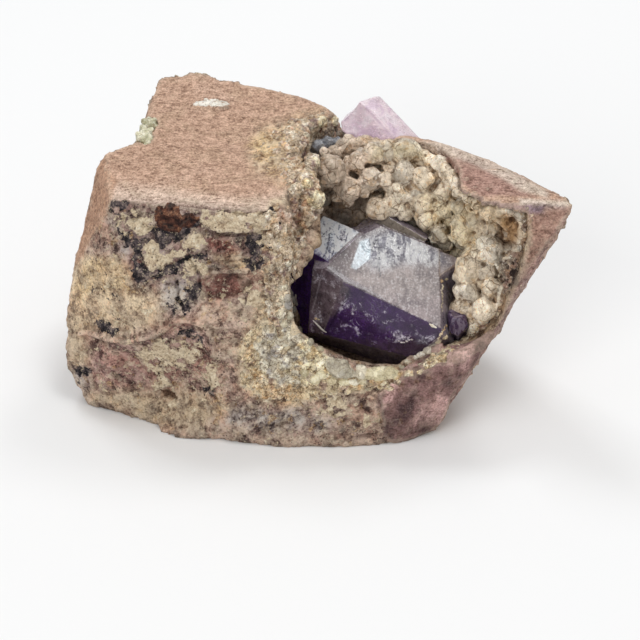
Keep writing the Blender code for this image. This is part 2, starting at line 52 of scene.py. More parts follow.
# --- The camera, and pixels of its 640 x 640 frame ---------------------------------------------
ELEVATION = math.radians(35.0)
DISTANCE = 600.0
LENS, SENSOR = 135.0, 36.0
TARGET = np.array([0.0, 0.0, 15.0])
BACK = np.array([0.0, -math.cos(ELEVATION), math.sin(ELEVATION)])
EYE = TARGET + DISTANCE * BACK
FOCAL = LENS / SENSOR * 640.0
RIGHT = np.array([1.0, 0.0, 0.0])
UP = np.cross(RIGHT, -BACK)


def pixels(points):
    """Where points, in millimetres, fall in the camera's frame."""
    d = points - EYE
    depth = d @ -BACK
    return 320 + FOCAL * (d @ RIGHT) / depth, 320 - FOCAL * (d @ UP) / depth


def sight(u, v):
    """The direction from the camera through a pixel."""
    d = -BACK + RIGHT * (u - 320) / FOCAL + UP * (320 - v) / FOCAL
    return d / np.linalg.norm(d)


# --- Noise ---------------------------------------------------------------------------------------
def mixed(ix, iy, iz, seed):
    h = ix.astype(np.uint32) * np.uint32(73856093)
    h ^= iy.astype(np.uint32) * np.uint32(19349663)
    h ^= iz.astype(np.uint32) * np.uint32(83492791)
    h ^= np.uint32((seed * 2654435761) & 0xFFFFFFFF)
    h ^= h >> np.uint32(13)
    h *= np.uint32(0x5BD1E995)
    h ^= h >> np.uint32(15)
    h *= np.uint32(0x27D4EB2D)
    h ^= h >> np.uint32(16)
    return h


def noise(points, size, seed=0):
    """Gradient noise, about -1 to 1, with cells of the given size."""
    p = points / size + 64.37 + seed * 7.13
    low = np.floor(p).astype(np.int64)
    f = p - low
    w = f * f * f * (f * (f * 6 - 15) + 10)
    total = np.zeros(len(p))
    for dx in (0, 1):
        for dy in (0, 1):
            for dz in (0, 1):
                h = mixed(low[:, 0] + dx, low[:, 1] + dy, low[:, 2] + dz, seed)
                gx = (h & np.uint32(1023)) / 511.5 - 1
                gy = ((h >> np.uint32(10)) & np.uint32(1023)) / 511.5 - 1
                gz = ((h >> np.uint32(20)) & np.uint32(1023)) / 511.5 - 1
                dot = gx * (f[:, 0] - dx) + gy * (f[:, 1] - dy) + gz * (f[:, 2] - dz)
                wx = w[:, 0] if dx else 1 - w[:, 0]
                wy = w[:, 1] if dy else 1 - w[:, 1]
                wz = w[:, 2] if dz else 1 - w[:, 2]
                total += dot * wx * wy * wz
    return total * 1.35


def fractal(points, size, octaves=4, gain=0.5, seed=0, ridged=False):
    total, amount, norm = np.zeros(len(points)), 1.0, 0.0
    q = points
    for n in range(octaves):
        layer = noise(q, size, seed + 11 * n)
        total += amount * (1 - 2 * np.abs(layer) if ridged else layer)
        norm += amount
        amount *= gain
        size *= 0.5
        q = q[:, [1, 2, 0]] * np.array([1.0, 1.0, -1.0])
    return total / norm


def cells(points, size, seed=0):
    """(distance to the nearest cell centre, to the next one, a random number of the cell), in cells."""
    p = points / size + 31.7
    low = np.floor(p).astype(np.int64)
    near = np.full(len(p), 9.0)
    second = np.full(len(p), 9.0)
    name = np.zeros(len(p))
    for dx in (-1, 0, 1):
        for dy in (-1, 0, 1):
            for dz in (-1, 0, 1):
                c = low + (dx, dy, dz)
                h = mixed(c[:, 0], c[:, 1], c[:, 2], seed)
                g = mixed(c[:, 1], c[:, 2], c[:, 0], seed + 5)
                x = c[:, 0] + (h & np.uint32(65535)) / 65535.0
                y = c[:, 1] + (h >> np.uint32(16)) / 65535.0
                z = c[:, 2] + (g & np.uint32(65535)) / 65535.0
                d = np.sqrt((p[:, 0] - x) ** 2 + (p[:, 1] - y) ** 2 + (p[:, 2] - z) ** 2)
                closer = d < near
                second = np.where(closer, near, np.minimum(second, d))
                name = np.where(closer, (g >> np.uint32(16)) / 65535.0, name)
                near = np.where(closer, d, near)
    return near, second, name


def ease(low, high, x):
    t = np.clip((x - low) / (high - low), 0.0, 1.0)
    return t * t * (3 - 2 * t)


# --- Marks laid out in the camera's frame ----------------------------------------------------------
def to_line(u, v, points, closed=False):
    """Distance in pixels to a line of points."""
    best = np.full(len(u), 1e9)
    ends = list(zip(points, points[1:] + points[:1])) if closed else list(zip(points, points[1:]))
    for (ax, ay), (bx, by) in ends:
        ex, ey = bx - ax, by - ay
        t = np.clip(((u - ax) * ex + (v - ay) * ey) / (ex * ex + ey * ey + 1e-9), 0, 1)
        best = np.minimum(best, np.hypot(u - ax - t * ex, v - ay - t * ey))
    return best


def patch(u, v, outline, soft=4.0, grow=0.0):
    """1 inside the outline, 0 outside it, changing over soft pixels."""
    d = to_line(u, v, outline, closed=True)
    odd = np.zeros(len(u), bool)
    for (ax, ay), (bx, by) in zip(outline, outline[1:] + outline[:1]):
        crosses = (ay > v) != (by > v)
        at = ax + (v - ay) * (bx - ax) / ((by - ay) if by != ay else 1e-9)
        odd ^= crosses & (u < at)
    signed = np.where(odd, d, -d) + grow
    return ease(-soft, soft, signed)


def stroke(u, v, points, width, soft=1.5):
    return 1 - ease(width, width + soft, to_line(u, v, points))


# --- Meshes ----------------------------------------------------------------------------------------
def arrays(obj):
    """(points in millimetres, triangles) of a frame node."""
    me = obj.data
    me.calc_loop_triangles()
    v = np.empty(len(me.vertices) * 3)
    me.vertices.foreach_get("co", v)
    f = np.empty(len(me.loop_triangles) * 3, np.int32)
    me.loop_triangles.foreach_get("vertices", f)
    return v.reshape(-1, 3) / MM, f.reshape(-1, 3)


def tree(v, f):
    return BVHTree.FromPolygons(v.tolist(), f.tolist())


def mesh_of(name, v, f):
    me = bpy.data.meshes.new(name)
    me.from_pydata(v.tolist(), [], f.tolist())
    me.update()
    return me


def voxels(v, f, size):
    """One skin round every closed body in (v, f): (points, quads)."""
    me = mesh_of("work", v, f)
    ob = bpy.data.objects.new("work", me)
    bpy.context.scene.collection.objects.link(ob)
    mod = ob.modifiers.new("skin", "REMESH")
    mod.mode, mod.voxel_size, mod.adaptivity = "VOXEL", size, 0.0
    out = bpy.data.meshes.new_from_object(ob.evaluated_get(bpy.context.evaluated_depsgraph_get()))
    p = np.empty(len(out.vertices) * 3)
    out.vertices.foreach_get("co", p)
    q = np.empty(len(out.loops), np.int32)
    out.loops.foreach_get("vertex_index", q)
    bpy.data.objects.remove(ob)
    bpy.data.meshes.remove(me)
    bpy.data.meshes.remove(out)
    return p.reshape(-1, 3), q.reshape(-1, 4)


def normals(v, q):
    n = np.cross(v[q[:, 2]] - v[q[:, 0]], v[q[:, 3]] - v[q[:, 1]])
    out = np.zeros_like(v)
    for k in range(4):
        for a in range(3):
            out[:, a] += np.bincount(q[:, k], n[:, a], len(v))
    return out / np.maximum(np.linalg.norm(out, axis=1, keepdims=True), 1e-12)


def edges_of(q):
    e = np.concatenate([q[:, [0, 1]], q[:, [1, 2]], q[:, [2, 3]], q[:, [3, 0]]])
    e = np.sort(e, axis=1)
    return np.unique(e, axis=0)


def spread(values, e, steps, keep=0.0):
    """values averaged with their neighbours over the mesh, steps times."""
    n = len(values)
    count = np.bincount(e[:, 0], minlength=n) + np.bincount(e[:, 1], minlength=n)
    flat = values.reshape(n, -1).astype(float)
    for _ in range(steps):
        new = np.empty_like(flat)
        for a in range(flat.shape[1]):
            new[:, a] = np.bincount(e[:, 0], flat[e[:, 1], a], n) + np.bincount(e[:, 1], flat[e[:, 0], a], n)
        new /= np.maximum(count, 1)[:, None]
        flat = keep * flat + (1 - keep) * new
    return flat.reshape(values.shape)


def hollowness(v, q, e, steps):
    """Above 0 in creases, below 0 on edges and bumps, in millimetres."""
    return ((spread(v, e, steps) - v) * normals(v, q)).sum(1)


def biggest(v, q):
    """Only the largest connected skin."""
    parent = np.arange(len(v))
    e = edges_of(q)
    while True:
        low = np.minimum(parent[e[:, 0]], parent[e[:, 1]])
        new = parent.copy()
        np.minimum.at(new, e[:, 0], low)
        np.minimum.at(new, e[:, 1], low)
        new = new[new]
        if (new == parent).all():
            break
        parent = new
    names, count = np.unique(parent, return_counts=True)
    if len(names) == 1:
        return v, q
    keep = parent == names[count.argmax()]
    index = np.cumsum(keep) - 1
    return v[keep], index[q[keep[q[:, 0]]]]


def snap(v, bvh, most=1.0):
    """v moved onto the nearest point of a surface that is near enough."""
    out = v.copy()
    for i, p in enumerate(v.tolist()):
        at = bvh.find_nearest(p, most)[0]
        if at is not None:
            out[i] = at
    return out


def piece(name, v, q, mat, node=None, smooth=True, attributes=(), replaces=True, crease=None):
    """A finished object in metres that rides on the root body."""
    me = mesh_of(name, v * MM, q)
    me.polygons.foreach_set("use_smooth", np.full(len(me.polygons), smooth))
    for key, value in attributes:
        value = np.asarray(value, float)
        if value.ndim == 1:
            a = me.attributes.new(key, "FLOAT", "POINT")
            a.data.foreach_set("value", value.ravel())
        else:
            a = me.attributes.new(key, "FLOAT_COLOR", "POINT")
            rgba = np.ones((len(value), 4))
            rgba[:, : value.shape[1]] = value
            a.data.foreach_set("color", rgba.ravel())
    if crease is not None:
        me.set_sharp_from_angle(angle=crease)
    me.materials.append(mat)
    me.update()
    ob = bpy.data.objects.new(name, me)
    bpy.context.scene.collection.objects.link(ob)
    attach(ob, "root")
    if node:
        if replaces:
            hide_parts(node)
    return ob


# --- Lumps -----------------------------------------------------------------------------------------------
def ball_mesh(detail):
    bm = bmesh.new()
    bmesh.ops.create_icosphere(bm, subdivisions=detail, radius=1.0)
    v = np.array([tuple(p.co) for p in bm.verts])
    f = np.array([[p.index for p in face.verts] for face in bm.faces])
    bm.free()
    return v, f


BALLS = {1: ball_mesh(2), 2: ball_mesh(3)}


def turned(rng):
    """A random rotation."""
    a, b, c, d = rng.normal(size=4)
    s = 2.0 / (a * a + b * b + c * c + d * d)
    return np.array([
        [1 - s * (c * c + d * d), s * (b * c - a * d), s * (b * d + a * c)],
        [s * (b * c + a * d), 1 - s * (b * b + d * d), s * (c * d - a * b)],
        [s * (b * d - a * c), s * (c * d + a * b), 1 - s * (b * b + c * c)],
    ])


BLOCK_FACES = np.array([(1, 0, 0), (-1, 0, 0), (0, 1, 0), (0, -1, 0), (0, 0, 1), (0, 0, -1)] + [(x, y, z) for x in (-1, 1) for y in (-1, 1) for z in (-1, 1)], float)
BLOCK_FACES /= np.linalg.norm(BLOCK_FACES, axis=1, keepdims=True)


def blocky(centre, radius, rng, power=11.0, squash=None, axis=None, detail=2, corner=(0.84, 1.14)):
    """A pillowy block: planes at random distances from its middle, with rounded edges."""
    ball_v, ball_f = BALLS[detail]
    faces = BLOCK_FACES @ turned(rng).T
    far = np.concatenate([rng.uniform(0.74, 1.0, 6), rng.uniform(*corner, 8)])
    facing = np.clip(ball_v @ faces.T, 0, None) / far
    r = (facing ** power).sum(1) ** (-1 / power)
    v = ball_v * r[:, None] * radius
    if squash is not None:
        axis = np.asarray(axis, float) / np.linalg.norm(axis)
        v = v - (1 - squash) * (v @ axis)[:, None] * axis
    return v + centre, ball_f


def joined(bodies):
    vs, fs, at = [], [], 0
    for v, f in bodies:
        vs.append(v)
        fs.append(f + at)
        at += len(v)
    return np.concatenate(vs), np.concatenate(fs)


# --- Materials ---------------------------------------------------------------------------------------
def srgb(r, g, b):
    """A display colour, 0 to 255, as a linear one."""
    return tuple((c / 255 / 12.92 if c <= 10.3 else ((c / 255 + 0.055) / 1.055) ** 2.4) for c in (r, g, b))


class Nodes:
    """Short names for the shader nodes that a material uses."""

    def __init__(self, name):
        self.mat = bpy.data.materials.new(name)
        self.mat.use_nodes = True
        self.tree = self.mat.node_tree
        self.bsdf = self.tree.nodes["Principled BSDF"]
        self.out = self.tree.nodes["Material Output"]
        self.where = self.tree.nodes.new("ShaderNodeTexCoord").outputs["Object"]

    def put(self, socket, value):
        if isinstance(value, bpy.types.NodeSocket):
            self.tree.links.new(value, socket)
        elif isinstance(value, tuple) and len(value) == 3 and socket.type == "RGBA":
            socket.default_value = (*value, 1.0)
        else:
            socket.default_value = value

    def set(self, **values):
        for key, value in values.items():
            self.put(self.bsdf.inputs[key.replace("_", " ")], value)

    def attribute(self, name, what="Fac"):
        n = self.tree.nodes.new("ShaderNodeAttribute")
        n.attribute_name = name
        return n.outputs[what]

    def split(self, colour):
        n = self.tree.nodes.new("ShaderNodeSeparateColor")
        self.put(n.inputs[0], colour)
        return n.outputs

    def stretched(self, scale=(1, 1, 1), turn=(0, 0, 0), vector=None):
        n = self.tree.nodes.new("ShaderNodeMapping")
        self.put(n.inputs["Vector"], vector or self.where)
        n.inputs["Rotation"].default_value = turn
        n.inputs["Scale"].default_value = scale
        return n.outputs[0]

    def noise(self, size, detail=5.0, rough=0.6, warp=0.0, vector=None, seed=0.0):
        """Noise whose cells are size millimetres across."""
        n = self.tree.nodes.new("ShaderNodeTexNoise")
        n.noise_dimensions = "4D"
        self.put(n.inputs["Vector"], vector or self.where)
        n.inputs["W"].default_value = seed
        n.inputs["Scale"].default_value = 1000.0 / size
        n.inputs["Detail"].default_value = detail
        n.inputs["Roughness"].default_value = rough
        n.inputs["Distortion"].default_value = warp
        return n.outputs["Fac"]

    def sigma(self, size, detail=5.0, rough=0.6, warp=0.0, vector=None, seed=0.0):
        """The same noise counted from its mean, in standard deviations."""
        return self.math("MULTIPLY_ADD", self.noise(size, detail, rough, warp, vector, seed), 19.0, -9.5)

    def sum(self, *terms):
        """Adds sockets, numbers and (socket, factor) pairs."""
        total = None
        for term in terms:
            value, factor = term if isinstance(term, tuple) else (term, None)
            if total is None:
                total = value if factor is None else self.math("MULTIPLY", value, factor)
            elif factor is None:
                total = self.math("ADD", total, value)
            else:
                total = self.math("MULTIPLY_ADD", value, factor, total)
        return total

    def times(self, *terms):
        total = terms[0]
        for term in terms[1:]:
            total = self.math("MULTIPLY", total, term)
        return total

    def cell(self, size, feature="F1", vector=None, random=1.0, out="Distance"):
        n = self.tree.nodes.new("ShaderNodeTexVoronoi")
        n.feature = feature
        self.put(n.inputs["Vector"], vector or self.where)
        n.inputs["Scale"].default_value = 1000.0 / size
        n.inputs["Randomness"].default_value = random
        return n.outputs[out]

    def vector(self, op, a, b, out="Vector"):
        n = self.tree.nodes.new("ShaderNodeVectorMath")
        n.operation = op
        for socket, value in zip((n.inputs["Scale"] if op == "SCALE" else n.inputs[1], n.inputs[0]), (b, a)):
            self.put(socket, value)
        return n.outputs[out]

    def warped(self, amount, size, seed=0.0):
        """The position, moved about by amount millimetres."""
        n = self.tree.nodes.new("ShaderNodeTexNoise")
        n.noise_dimensions = "4D"
        self.put(n.inputs["Vector"], self.where)
        n.inputs["W"].default_value = seed
        n.inputs["Scale"].default_value = 1000.0 / size
        n.inputs["Detail"].default_value = 3.0
        moved = self.vector("SCALE", self.vector("SUBTRACT", n.outputs["Color"], (0.5, 0.5, 0.5)), amount * MM * 4.0)
        return self.vector("ADD", self.where, moved)

    def facets(self, size, vector, tilt=0.8, random=1.0):
        """Small flat faces: their tilted height in millimetres, a random number for each, and the distance to the crease."""
        n = self.tree.nodes.new("ShaderNodeTexVoronoi")
        n.feature = "F1"
        self.put(n.inputs["Vector"], vector)
        n.inputs["Scale"].default_value = 1000.0 / size
        n.inputs["Randomness"].default_value = random
        local = self.vector("SUBTRACT", vector, n.outputs["Position"])
        way = self.vector("SUBTRACT", n.outputs["Color"], (0.5, 0.5, 0.5))
        height = self.math("MULTIPLY", self.vector("DOT_PRODUCT", local, way, "Value"), tilt * 1000.0)
        edge = self.cell(size, "DISTANCE_TO_EDGE", vector=vector, random=random)
        return height, self.split(n.outputs["Color"])[1], edge

    def math(self, op, a, b=0.0, c=None, clamp=False):
        n = self.tree.nodes.new("ShaderNodeMath")
        n.operation = op
        n.use_clamp = clamp
        self.put(n.inputs[0], a)
        self.put(n.inputs[1], b)
        if c is not None:
            self.put(n.inputs[2], c)
        return n.outputs[0]

    def step(self, x, low, high, to=(0.0, 1.0)):
        n = self.tree.nodes.new("ShaderNodeMapRange")
        n.interpolation_type = "SMOOTHSTEP"
        self.put(n.inputs["Value"], x)
        self.put(n.inputs["From Min"], low)
        self.put(n.inputs["From Max"], high)
        n.inputs["To Min"].default_value, n.inputs["To Max"].default_value = to
        return n.outputs["Result"]

    def mix(self, fac, a, b, how="MIX"):
        n = self.tree.nodes.new("ShaderNodeMix")
        n.data_type, n.blend_type = "RGBA", how
        self.put(n.inputs["Factor"], fac)
        self.put(n.inputs[6], a)
        self.put(n.inputs[7], b)
        return n.outputs[2]

    def ramp(self, fac, *stops):
        n = self.tree.nodes.new("ShaderNodeValToRGB")
        self.put(n.inputs[0], fac)
        bar = n.color_ramp.elements
        while len(bar) < len(stops):
            bar.new(0.5)
        for element, (at, colour) in zip(bar, stops):
            element.position = at
            element.color = (*colour, 1.0)
        return n.outputs[0]

    def bump(self, height, depth, strength=1.0, normal=None):
        """depth is the height of 1, in millimetres."""
        n = self.tree.nodes.new("ShaderNodeBump")
        n.inputs["Strength"].default_value = strength
        n.inputs["Distance"].default_value = depth * MM
        self.put(n.inputs["Height"], height)
        if normal is not None:
            self.put(n.inputs["Normal"], normal)
        return n.outputs[0]

    def absorb(self, colour, density):
        n = self.tree.nodes.new("ShaderNodeVolumeAbsorption")
        n.inputs["Color"].default_value = (*colour, 1.0)
        n.inputs["Density"].default_value = density
        self.tree.links.new(n.outputs[0], self.out.inputs["Volume"])


# --- The stage ---------------------------------------------------------------------------------------
def stage():
    scene = bpy.context.scene
    scene.view_settings.view_transform = "Standard"
    scene.view_settings.look = "None"
    scene.view_settings.exposure = 0.0
    camera = bpy.data.cameras.new("camera")
    camera.lens, camera.sensor_width = LENS, SENSOR
    camera.clip_start, camera.clip_end = 0.02, 20.0
    eye = bpy.data.objects.new("camera", camera)
    eye.location = Vector(EYE * MM)
    eye.rotation_mode = "QUATERNION"
    eye.rotation_quaternion = Vector(-BACK).to_track_quat("-Z", "Y")
    scene.collection.objects.link(eye)
    scene.camera = eye

    floor_mesh = bpy.data.meshes.new("floor")
    floor_mesh.from_pydata([(-3, -3, 0), (3, -3, 0), (3, 3, 0), (-3, 3, 0)], [], [(0, 1, 2, 3)])
    floor = bpy.data.objects.new("floor", floor_mesh)
    floor.location.z = -0.0001
    scene.collection.objects.link(floor)
    pale = Nodes("pale_floor")
    pale.set(Base_Color=(0.86, 0.86, 0.86), Roughness=0.9, Specular_IOR_Level=0.1)
    floor_mesh.materials.append(pale.mat)

    world = bpy.data.worlds.new("studio")
    scene.world = world
    world.use_nodes = True
    world.node_tree.nodes["Background"].inputs["Color"].default_value = (1.0, 1.0, 1.0, 1.0)
    world.node_tree.nodes["Background"].inputs["Strength"].default_value = WORLD

    for name, place, target, size, radiance, colour in LAMPS:
        light = bpy.data.lights.new(name, "AREA")
        light.shape = "RECTANGLE"
        light.size, light.size_y = size
        light.energy = radiance * math.pi * size[0] * size[1]
        light.color = colour
        lamp = bpy.data.objects.new(name, light)
        lamp.location = place
        lamp.rotation_mode = "QUATERNION"
        lamp.rotation_quaternion = (Vector(target) - Vector(place)).to_track_quat("-Z", "Y")
        scene.collection.objects.link(lamp)


WORLD = 0.50
LAMPS = (
    # name, place, aimed at, size, brightness, colour
    ("overhead_front", (0.18, -0.08, 0.95), (0.01, -0.01, 0.04), (0.26, 0.26), 9.5, (1.0, 1.0, 1.0)),
    ("overhead_left", (-0.33, 0.52, 0.95), (0.0, 0.0, 0.04), (0.30, 0.30), 9.5, (0.93, 0.97, 1.0)),
    ("overhead_right", (0.38, 0.45, 0.95), (0.01, 0.0, 0.04), (0.26, 0.26), 8.5, (1.0, 1.0, 1.0)),
    ("front_left", (-0.55, -1.00, 0.72), (0.0, 0.0, 0.03), (0.7, 0.7), 3.5, (1.0, 0.99, 0.97)),
)
stage()

# --- The rock ------------------------------------------------------------------------------------------
# Outlines in the camera's frame, in pixels.
RUST = [(157.8, 206), (166, 209), (168, 204), (178, 204), (181, 214), (191, 214), (198, 219), (191, 226), (183, 226), (179, 232.5), (166, 231), (159.5, 226), (154.5, 219)]
RUST_CORE = [(166, 218), (172, 215), (180, 217), (184, 223), (176, 227), (168, 226)]
STAINS = [
    [(149.5, 226), (166, 231), (183, 226), (192.7, 219), (201.8, 221.7), (197.6, 226), (189.4, 231), (182.7, 237.5), (176, 242.4), (174.4, 235.8), (167.8, 245.7), (162.8, 250), (157.8, 242.4), (152.9, 235.8), (148, 232.5)],
    [(138, 236), (150, 238), (151, 244), (140, 243)],
    [(129.7, 254), (138, 250.7), (143, 255.7), (146.2, 269), (152.9, 272.3), (167.8, 264), (176, 260.7), (187.7, 257.3), (197.6, 255.7), (197.6, 258.2), (186, 260.7), (179.4, 265.6), (176, 274), (166, 277.2), (159.5, 280.6), (149.6, 279), (143, 280.6), (134.6, 284.7), (132, 275.6), (131.3, 264)],
    [(246, 236), (262, 235), (268, 242), (260, 250), (250, 247)],
    [(196, 283), (201, 285), (199, 296), (195, 303), (190, 304), (187, 297), (191, 291)],
    [(97, 323), (102, 327), (104, 333), (99, 330)],
]
CREAMS = [
    [(126.3, 219), (138, 219), (146.2, 214), (156.2, 214), (155.4, 224), (148, 234), (139.6, 235.8), (133, 229), (127, 225.8)],
    [(150.4, 240.8), (157.8, 244), (167.8, 250.7), (179.4, 250.7), (186, 239), (192.7, 232.5), (202.6, 234), (206, 244), (201, 250.7), (191, 252.4), (182.7, 257.3), (172.8, 259), (166, 264), (152.9, 270.6), (146.2, 267.3), (141.3, 252.4), (143, 245.7)],
    [(182.7, 260.7), (191, 257.3), (204.3, 259), (209.3, 265.6), (206, 270.6), (192.7, 274), (186, 270.6)],
    [(202.6, 206), (214.2, 209.3), (232.5, 211), (250.7, 212.6), (275.6, 209.3), (275.6, 219), (274, 227.5), (259, 232.5), (239, 233.3), (219, 232.5), (206, 229), (201, 222.5)],
    [(146, 349.8), (156.4, 344.7), (166.8, 346.4), (180.5, 349.8), (187.4, 351.5), (180.5, 358.4), (173.7, 365.3), (166.8, 368.8), (158.2, 362), (149.5, 356.7)],
    [(153, 377), (166, 376), (170, 384), (158, 389), (151, 384)],
    [(240, 298), (252, 293), (258, 300), (248, 309), (240, 307)],
    [(206, 368), (216, 366), (222, 380), (214, 392), (207, 384)],
    [(330, 398), (350, 402), (346, 412), (332, 408)],
]
CRUSTED = [  # the granular crust round the vug's left side and below it
    [(272, 200), (310, 196), (312, 215), (303, 240), (292, 262), (289, 290), (293, 320), (312, 345), (330, 362), (352, 372), (398, 376), (420, 364), (424, 372), (396, 388), (352, 392), (300, 402), (262, 400), (240, 384), (236, 352), (252, 322), (262, 290), (262, 250), (264, 222)],
]
TOP_CRUST = [(259, 129.6), (283.9, 123), (300, 116), (322, 112), (330, 129.6), (325, 152.9), (322, 176), (318, 205), (305, 205), (292.2, 190), (275.6, 176), (255.7, 167.8), (250.7, 152.9)]
OCHRES = [
    [(212.6, 254), (235.8, 252.4), (250.7, 262.3), (249, 269), (230.8, 267.3), (214.2, 260.7)],
    [(75, 285), (88, 258), (118, 256), (129.7, 272.3), (131.3, 285.5), (150, 290), (128, 296), (100, 292), (78, 300)],
    [(211.5, 399.8), (222, 396), (228, 408), (222, 416), (213, 413)],
    [(266.6, 396), (290, 394), (301, 403), (280, 408)],
    [(384, 366), (398, 362), (420, 366), (410, 380), (396, 386), (384, 380)],
    [(300, 196), (312, 200), (306, 222), (298, 240), (290, 232), (300, 215)],
    [(252, 140), (290, 128), (312, 150), (305, 176), (280, 172), (256, 160)],
]
REDS = [
    [(206, 237.4), (217.5, 235.8), (234, 239), (237.4, 249), (225.8, 254), (212.6, 252.4), (206, 245.7)],
    [(197.6, 282.2), (209.3, 274), (225.8, 272.3), (242.4, 275.6), (254, 282.2), (250.7, 288.9), (239, 295.5), (222.5, 298.8), (209.3, 298.8), (201, 292)],
    [(189, 350), (205, 352), (211, 362), (204, 372), (192, 374), (182, 366)],
    [(276, 206), (296, 204), (300, 214), (290, 226), (278, 222)],
    [(130, 254), (142, 252), (144, 266), (134, 270)],
    [(122, 405), (134, 409), (136, 416), (126, 416)],
]
PURPLES = [
    [(388, 378), (436, 366), (452, 346), (482, 334), (500, 320), (498, 334), (470, 372), (444, 412), (430, 436), (392, 438), (384, 404)],
]
SLAB = [(378, 392), (384, 386), (404, 371), (430, 348), (466, 327), (494, 333), (470, 366), (450, 396), (436, 428), (396, 444), (384, 434), (381, 414)]
RIGHT_FRESH = [(524, 207), (571, 208), (572, 211), (549, 242), (532, 264), (514, 295), (505, 292), (516, 268), (524, 246), (525, 224)]
GRIMY = [(112, 200), (200, 205), (268, 214), (268, 250), (256, 268), (206, 272), (196, 302), (170, 300), (160, 284), (132, 286), (128, 262), (116, 236), (104, 224)]
RIGHT_STRIP = [(518, 199), (572, 201), (572, 207), (545, 206), (520, 205)]
GREYS = [
    [(162.8, 284), (182, 284), (197.6, 300), (196, 312), (172, 318), (156, 308)],
    [(108, 244), (128, 246), (130, 258), (112, 256)],
    [(263, 327.4), (280.4, 334.3), (301, 337.8), (306, 356), (300, 378), (280, 384), (262, 368), (254, 350)],
    [(230, 410), (300, 408), (330, 420), (320, 434), (260, 432), (226, 424)],
    [(70, 366), (84, 366), (92, 384), (86, 396), (74, 378)],
]
TANS = [
    [(70, 264), (84, 257), (118, 258), (130, 274), (128, 290), (100, 293), (70, 297)],
    [(70, 296), (100, 290), (163, 293), (166, 306), (156.4, 322), (130, 330), (94.4, 329), (70, 334)],
    [(142.7, 387.7), (180.5, 386), (206.4, 394.6), (211.5, 415.3), (200, 430), (156.4, 424), (129, 413.5), (94.4, 399.8), (90, 392)],
    [(68.6, 334), (84, 336), (91, 350), (88, 365), (70, 364)],
]
LENS_DISH = REDS[1]
RIM_LINE = [(81, 333), (88, 332), (97, 335), (108, 338.5), (125.4, 341), (142.7, 338.5), (156.4, 334), (166.8, 328), (173.7, 321.5), (187.4, 319.5), (201, 324), (209, 333), (214, 346)]
SCAR_FACE = [(81, 334), (88, 333), (97, 336.5), (108, 340), (125.4, 342.5), (142.7, 340), (156.4, 335.5), (166.8, 329.5), (173.7, 323), (187.4, 321), (200, 325), (208, 334), (213, 348), (208, 366), (214, 384), (204, 396), (180, 388), (142, 390), (110, 398), (94, 392), (88, 366)]
CRACKS = [
    ([(206, 231), (212.6, 233.3), (222, 235), (232.5, 235.4), (250.7, 234.5), (270.6, 231)], 0.9),
    ([(176, 281), (178, 290), (176, 300), (181, 306)], 0.8),
    ([(186, 258), (192, 262), (200, 275), (199, 284)], 0.7),
]
RIDGES = [
    [(228, 270), (239, 267.6), (250.7, 267.8), (253.5, 272)],
    [(209, 265), (220, 266), (228, 268)],
    [(214, 272), (232, 270.5), (246, 272)],
]
DARK_RIGHT = [(499.5, 262), (512, 259), (519.2, 268), (517, 284), (508, 288), (500, 280)]
VIOLET_RIGHT = [(524, 206), (545, 205), (543, 213), (528, 214)]
SLIVER = [(98, 160), (105.5, 155), (107.5, 169), (116.5, 182), (111, 198), (107, 211), (96, 232), (79, 262), (70, 278), (66, 262), (90, 206)]
REAR_FLAT = [(428, 157), (468, 156), (486, 168), (535, 197), (480, 196), (450, 176)]
REAR_RIDGE = [(418, 142), (445, 141), (460, 148), (475, 153), (505, 166), (521, 176), (548, 192), (548, 199), (520, 190), (500, 178), (470, 162), (445, 154), (420, 152)]
FAINT_STAINS = [
    [(108, 198), (128, 196), (140, 206), (136, 222), (120, 224), (108, 212)],
    [(120, 226), (146, 230), (150, 244), (132, 250), (118, 242)],
    [(200, 236), (216, 240), (214, 256), (200, 258)],
    [(236, 238), (268, 236), (276, 250), (262, 266), (250, 272), (240, 256)],
    [(262, 208), (282, 206), (280, 226), (268, 232), (262, 220)],
    [(160, 280), (184, 280), (200, 296), (200, 308), (184, 314), (166, 306)],
    [(96, 320), (124, 318), (140, 328), (120, 336), (100, 334)],
    [(176, 326), (196, 328), (204, 340), (190, 346), (176, 340)],
    [(196, 374), (212, 376), (216, 392), (204, 396)],
    [(76, 366), (90, 368), (92, 388), (82, 388)],
]
FAINT_CREAMS = [
    [(150, 344), (180, 340), (200, 344), (204, 356), (190, 370), (160, 376), (140, 368), (136, 352)],
    [(116, 212), (130, 210), (136, 228), (122, 236), (114, 226)],
    [(206, 204), (276, 208), (276, 232), (206, 234)],
    [(236, 290), (262, 286), (264, 310), (240, 318)],
    [(196, 360), (214, 360), (226, 378), (216, 392), (204, 384)],
    [(326, 396), (360, 398), (362, 412), (340, 418), (324, 408)],
    [(360, 408), (378, 412), (380, 420), (362, 420)],
]
NICK = [(161, 392), (168, 390), (174, 394), (176, 399), (170, 398), (163, 396)]
SCAR_RED = [(90, 348), (110, 350), (150, 348), (150, 366), (120, 386), (100, 380), (90, 366)]
SCAR_FLECKS = [(118, 352), (150, 344), (196, 340), (208, 356), (206, 384), (176, 396), (140, 396), (116, 384)]



# Blocks of rock beyond the crust on the vug's right: middle and radius in pixels.
SHOULDERS = [(524, 226, 4.5), (523, 240, 5), (515, 258, 8), (510, 270, 10), (508, 284, 10), (504, 298, 9), (500, 311, 8), (489, 322, 7), (476, 329, 6), (440, 152, 4), (449, 160, 4), (458, 170, 4), (466, 181, 4), (476, 189, 3.5), (488, 192, 3.5), (500, 194, 3)]

# The crust's overhang on the vug's left: middle and radius in pixels. Each takes its depth from the rim beside it.
OVERHANG = [(313, 161, 7), (309, 170, 8), (306, 180, 10), (309, 190, 11), (312, 200, 10), (304, 212, 9), (298, 222, 8), (295, 233, 7), (289, 245, 5.6), (285, 258, 4.6), (281, 271, 4.2)]
